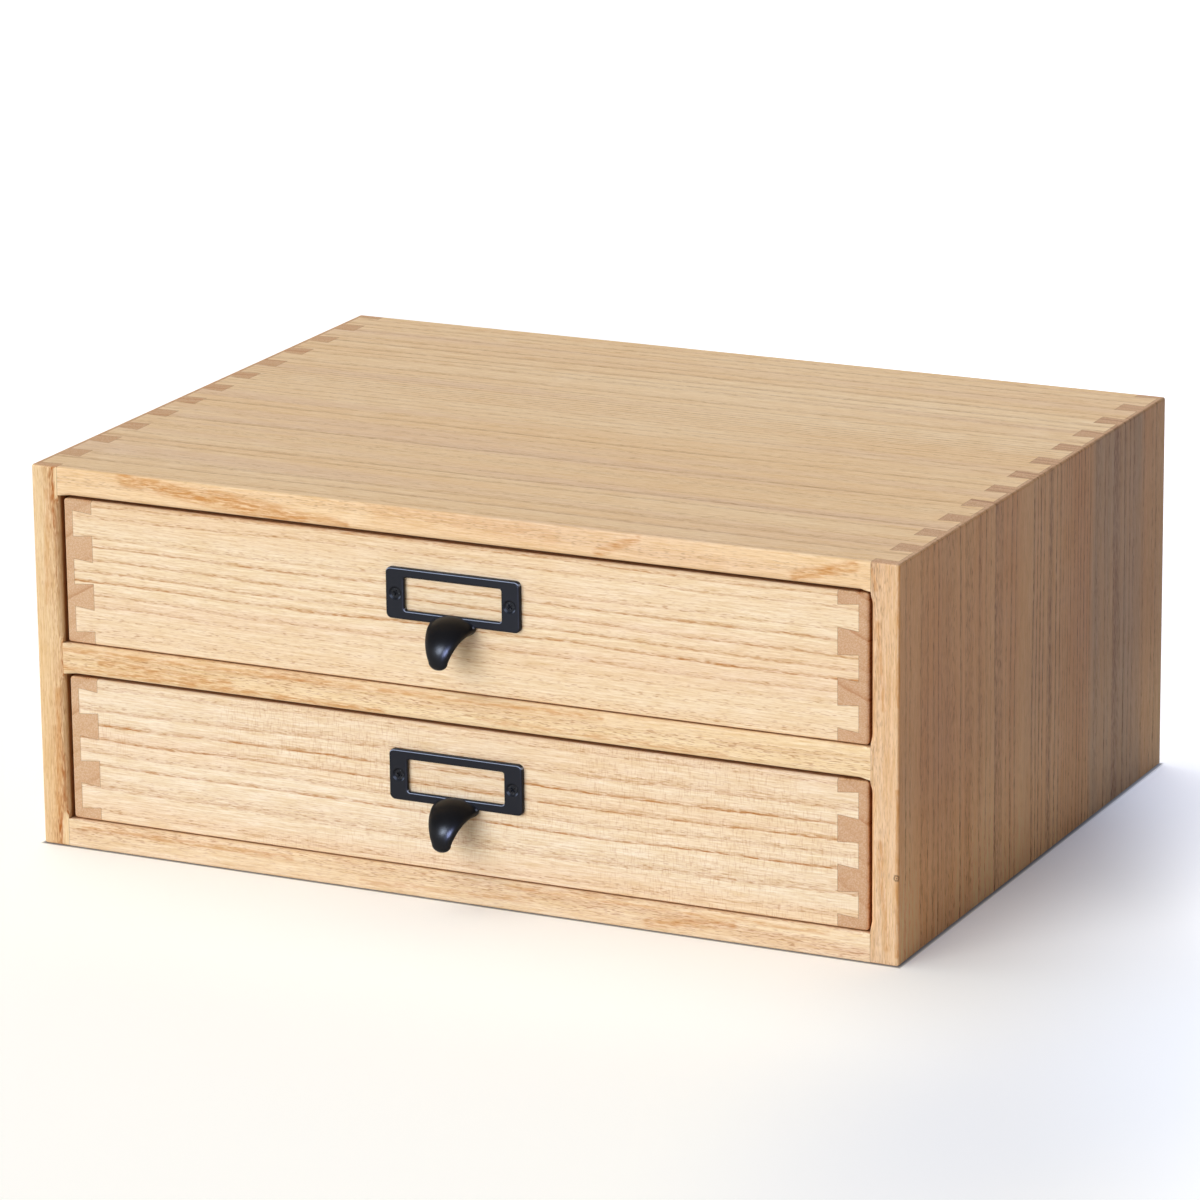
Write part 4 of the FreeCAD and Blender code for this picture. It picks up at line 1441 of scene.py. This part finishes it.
@dataclass(frozen=True)
class Studio:
    """The lights, the surroundings and the camera.

    Attributes:
        focal_pixels: The camera's focal length in pixels of the picture.
        picture: The picture's side in pixels.
        sensor: The width of the camera's sensor, in millimetres.
        sight: How far the camera sees, in metres.
        azimuth: How far the camera stands to the right of the front, in degrees.
        elevation: How far it looks down, in degrees.
        roll: How far it leans, in degrees.
        stand: The camera's place, in metres.
        surround: The strength of the even light from all round.
        ceiling: How bright the ceiling looks in reflections.
        ceiling_span: The upward turns at which the ceiling starts and is darkest.
        aim: The place that the lights face, in metres.
        window_distance: How far away the windows stand, in metres.
        card_distance: How far away the cards stand, in metres.
    """

    focal_pixels: float = 6136.8
    picture: float = 1200.0
    sensor: float = 36.0
    sight: float = 50.0
    azimuth: float = 25.8306
    elevation: float = 15.9374
    roll: float = 0.6261
    stand: Triple = (0.99017, -2.05433, 0.73339)
    surround: float = 0.12
    ceiling: float = 0.1
    ceiling_span: Pair = (0.15, 0.5)
    aim: Triple = (0.0, 0.0, 0.08)
    window_distance: float = 3.0
    card_distance: float = 1.2

    @staticmethod
    def find_way(azimuth: float, elevation: float) -> Vector:
        """Finds the way from the object to what stands round it.

        Args:
            azimuth: How far that stands to the right of the front, in degrees.
            elevation: How high it stands, in degrees.

        Returns:
            The way, with a length of 1.
        """
        turn, tilt = math.radians(azimuth), math.radians(elevation)
        return Vector((math.sin(turn) * math.cos(tilt), -math.cos(turn) * math.cos(tilt),
                       math.sin(tilt)))

    def build_camera(self) -> None:
        """Sets up the camera at the picture's angle."""
        lens = bpy.data.cameras.new("camera")
        lens.sensor_width = self.sensor
        lens.lens = self.focal_pixels / self.picture * self.sensor
        lens.clip_end = self.sight
        camera = bpy.data.objects.new("camera", lens)
        back = self.find_way(self.azimuth, self.elevation)
        lean = Quaternion((0.0, 0.0, 1.0), -math.radians(self.roll))
        camera.rotation_mode = "QUATERNION"
        camera.rotation_quaternion = (-back).to_track_quat("-Z", "Y") @ lean
        camera.location = self.stand
        bpy.context.scene.collection.objects.link(camera)
        bpy.context.scene.camera = camera

    def build_surround(self) -> None:
        """Sets an even light all round that is seen as white, with a dark ceiling in reflections."""
        world = bpy.data.worlds.new("surround")
        world.use_nodes = True
        bench = Bench(world.node_tree)
        background = world.node_tree.nodes["Background"]
        background.inputs["Color"].default_value = (1.0, 1.0, 1.0, 1.0)
        rays = bench.node("ShaderNodeLightPath").outputs
        _, _, upward = bench.split(bench.node("ShaderNodeTexCoord").outputs["Generated"])
        mirrored = bench.times(rays["Is Glossy Ray"],
                               bench.fit(upward, *self.ceiling_span, 1.0, self.ceiling))
        bench.feed(background.inputs["Strength"],
                   bench.most(rays["Is Camera Ray"], mirrored, rays["Is Transmission Ray"],
                              self.surround))
        bpy.context.scene.world = world

    def hang(self, lamp_data: bpy.types.Light, light: Light, distance: float) -> bpy.types.Object:
        """Hangs a lamp so that it faces the object.

        Args:
            lamp_data: Blender's own light.
            light: Where it hangs, and its colour.
            distance: How far away it is, in metres.

        Returns:
            The lamp.
        """
        lamp_data.color = light.colour
        lamp = bpy.data.objects.new(light.name, lamp_data)
        away = self.find_way(light.azimuth, light.elevation)
        lamp.location = Vector(self.aim) + away * distance
        lamp.rotation_mode = "QUATERNION"
        lamp.rotation_quaternion = (-away).to_track_quat("-Z", "Y")
        bpy.context.scene.collection.objects.link(lamp)
        return lamp

    def build_window(self, light: Light) -> None:
        """Adds wide, even light from one side, which leaves no highlights of its own.

        Args:
            light: The light.
        """
        sun = bpy.data.lights.new(light.name, "SUN")
        sun.energy = light.strength
        sun.angle = math.radians(light.size)
        self.hang(sun, light, self.window_distance).visible_glossy = False

    def build_card(self, light: Light, metal: bpy.types.Collection) -> None:
        """Adds a small bright card that shows only as a highlight on the metal.

        Args:
            light: The card.
            metal: The pieces that mirror it.
        """
        area = bpy.data.lights.new(light.name, "AREA")
        area.shape = "SQUARE"
        area.size = light.size
        area.energy = light.strength * math.pi * light.size * light.size
        card = self.hang(area, light, self.card_distance)
        card.visible_diffuse = False
        card.light_linking.receiver_collection = metal

    @staticmethod
    def gather_metal() -> bpy.types.Collection:
        """Gathers the pulls and their screws, which alone mirror the cards.

        Returns:
            The collection of them.
        """
        metal = bpy.data.collections.new("metal")
        for level in Level:
            for piece in ("pull", "pull_screws"):
                metal.objects.link(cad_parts[f"{level.value}_{piece}"])
        return metal

    def build(self) -> None:
        """Builds the whole studio."""
        self.build_camera()
        Floor().build()
        self.build_surround()
        for window in WINDOWS:
            self.build_window(window)
        metal = self.gather_metal()
        for card in CARDS:
            self.build_card(card, metal)


def main() -> None:
    """Builds the studio and dresses each sub-assembly in order."""
    logging.basicConfig(level=logging.INFO, format="%(name)s: %(message)s")
    bpy.context.scene.view_settings.view_transform = "Standard"
    groups = Groups()
    Studio().build()
    Carcass(groups).dress()
    lacquer = Lacquer().make(groups)
    steel = BlackedSteel().make(groups)
    for level, front in ((Level.LOWER, LOWER_FRONT), (Level.UPPER, UPPER_FRONT)):
        Drawer(groups, level, front).dress()
        Pull(lacquer, steel, level).dress()


if __name__ == "__main__":
    main()
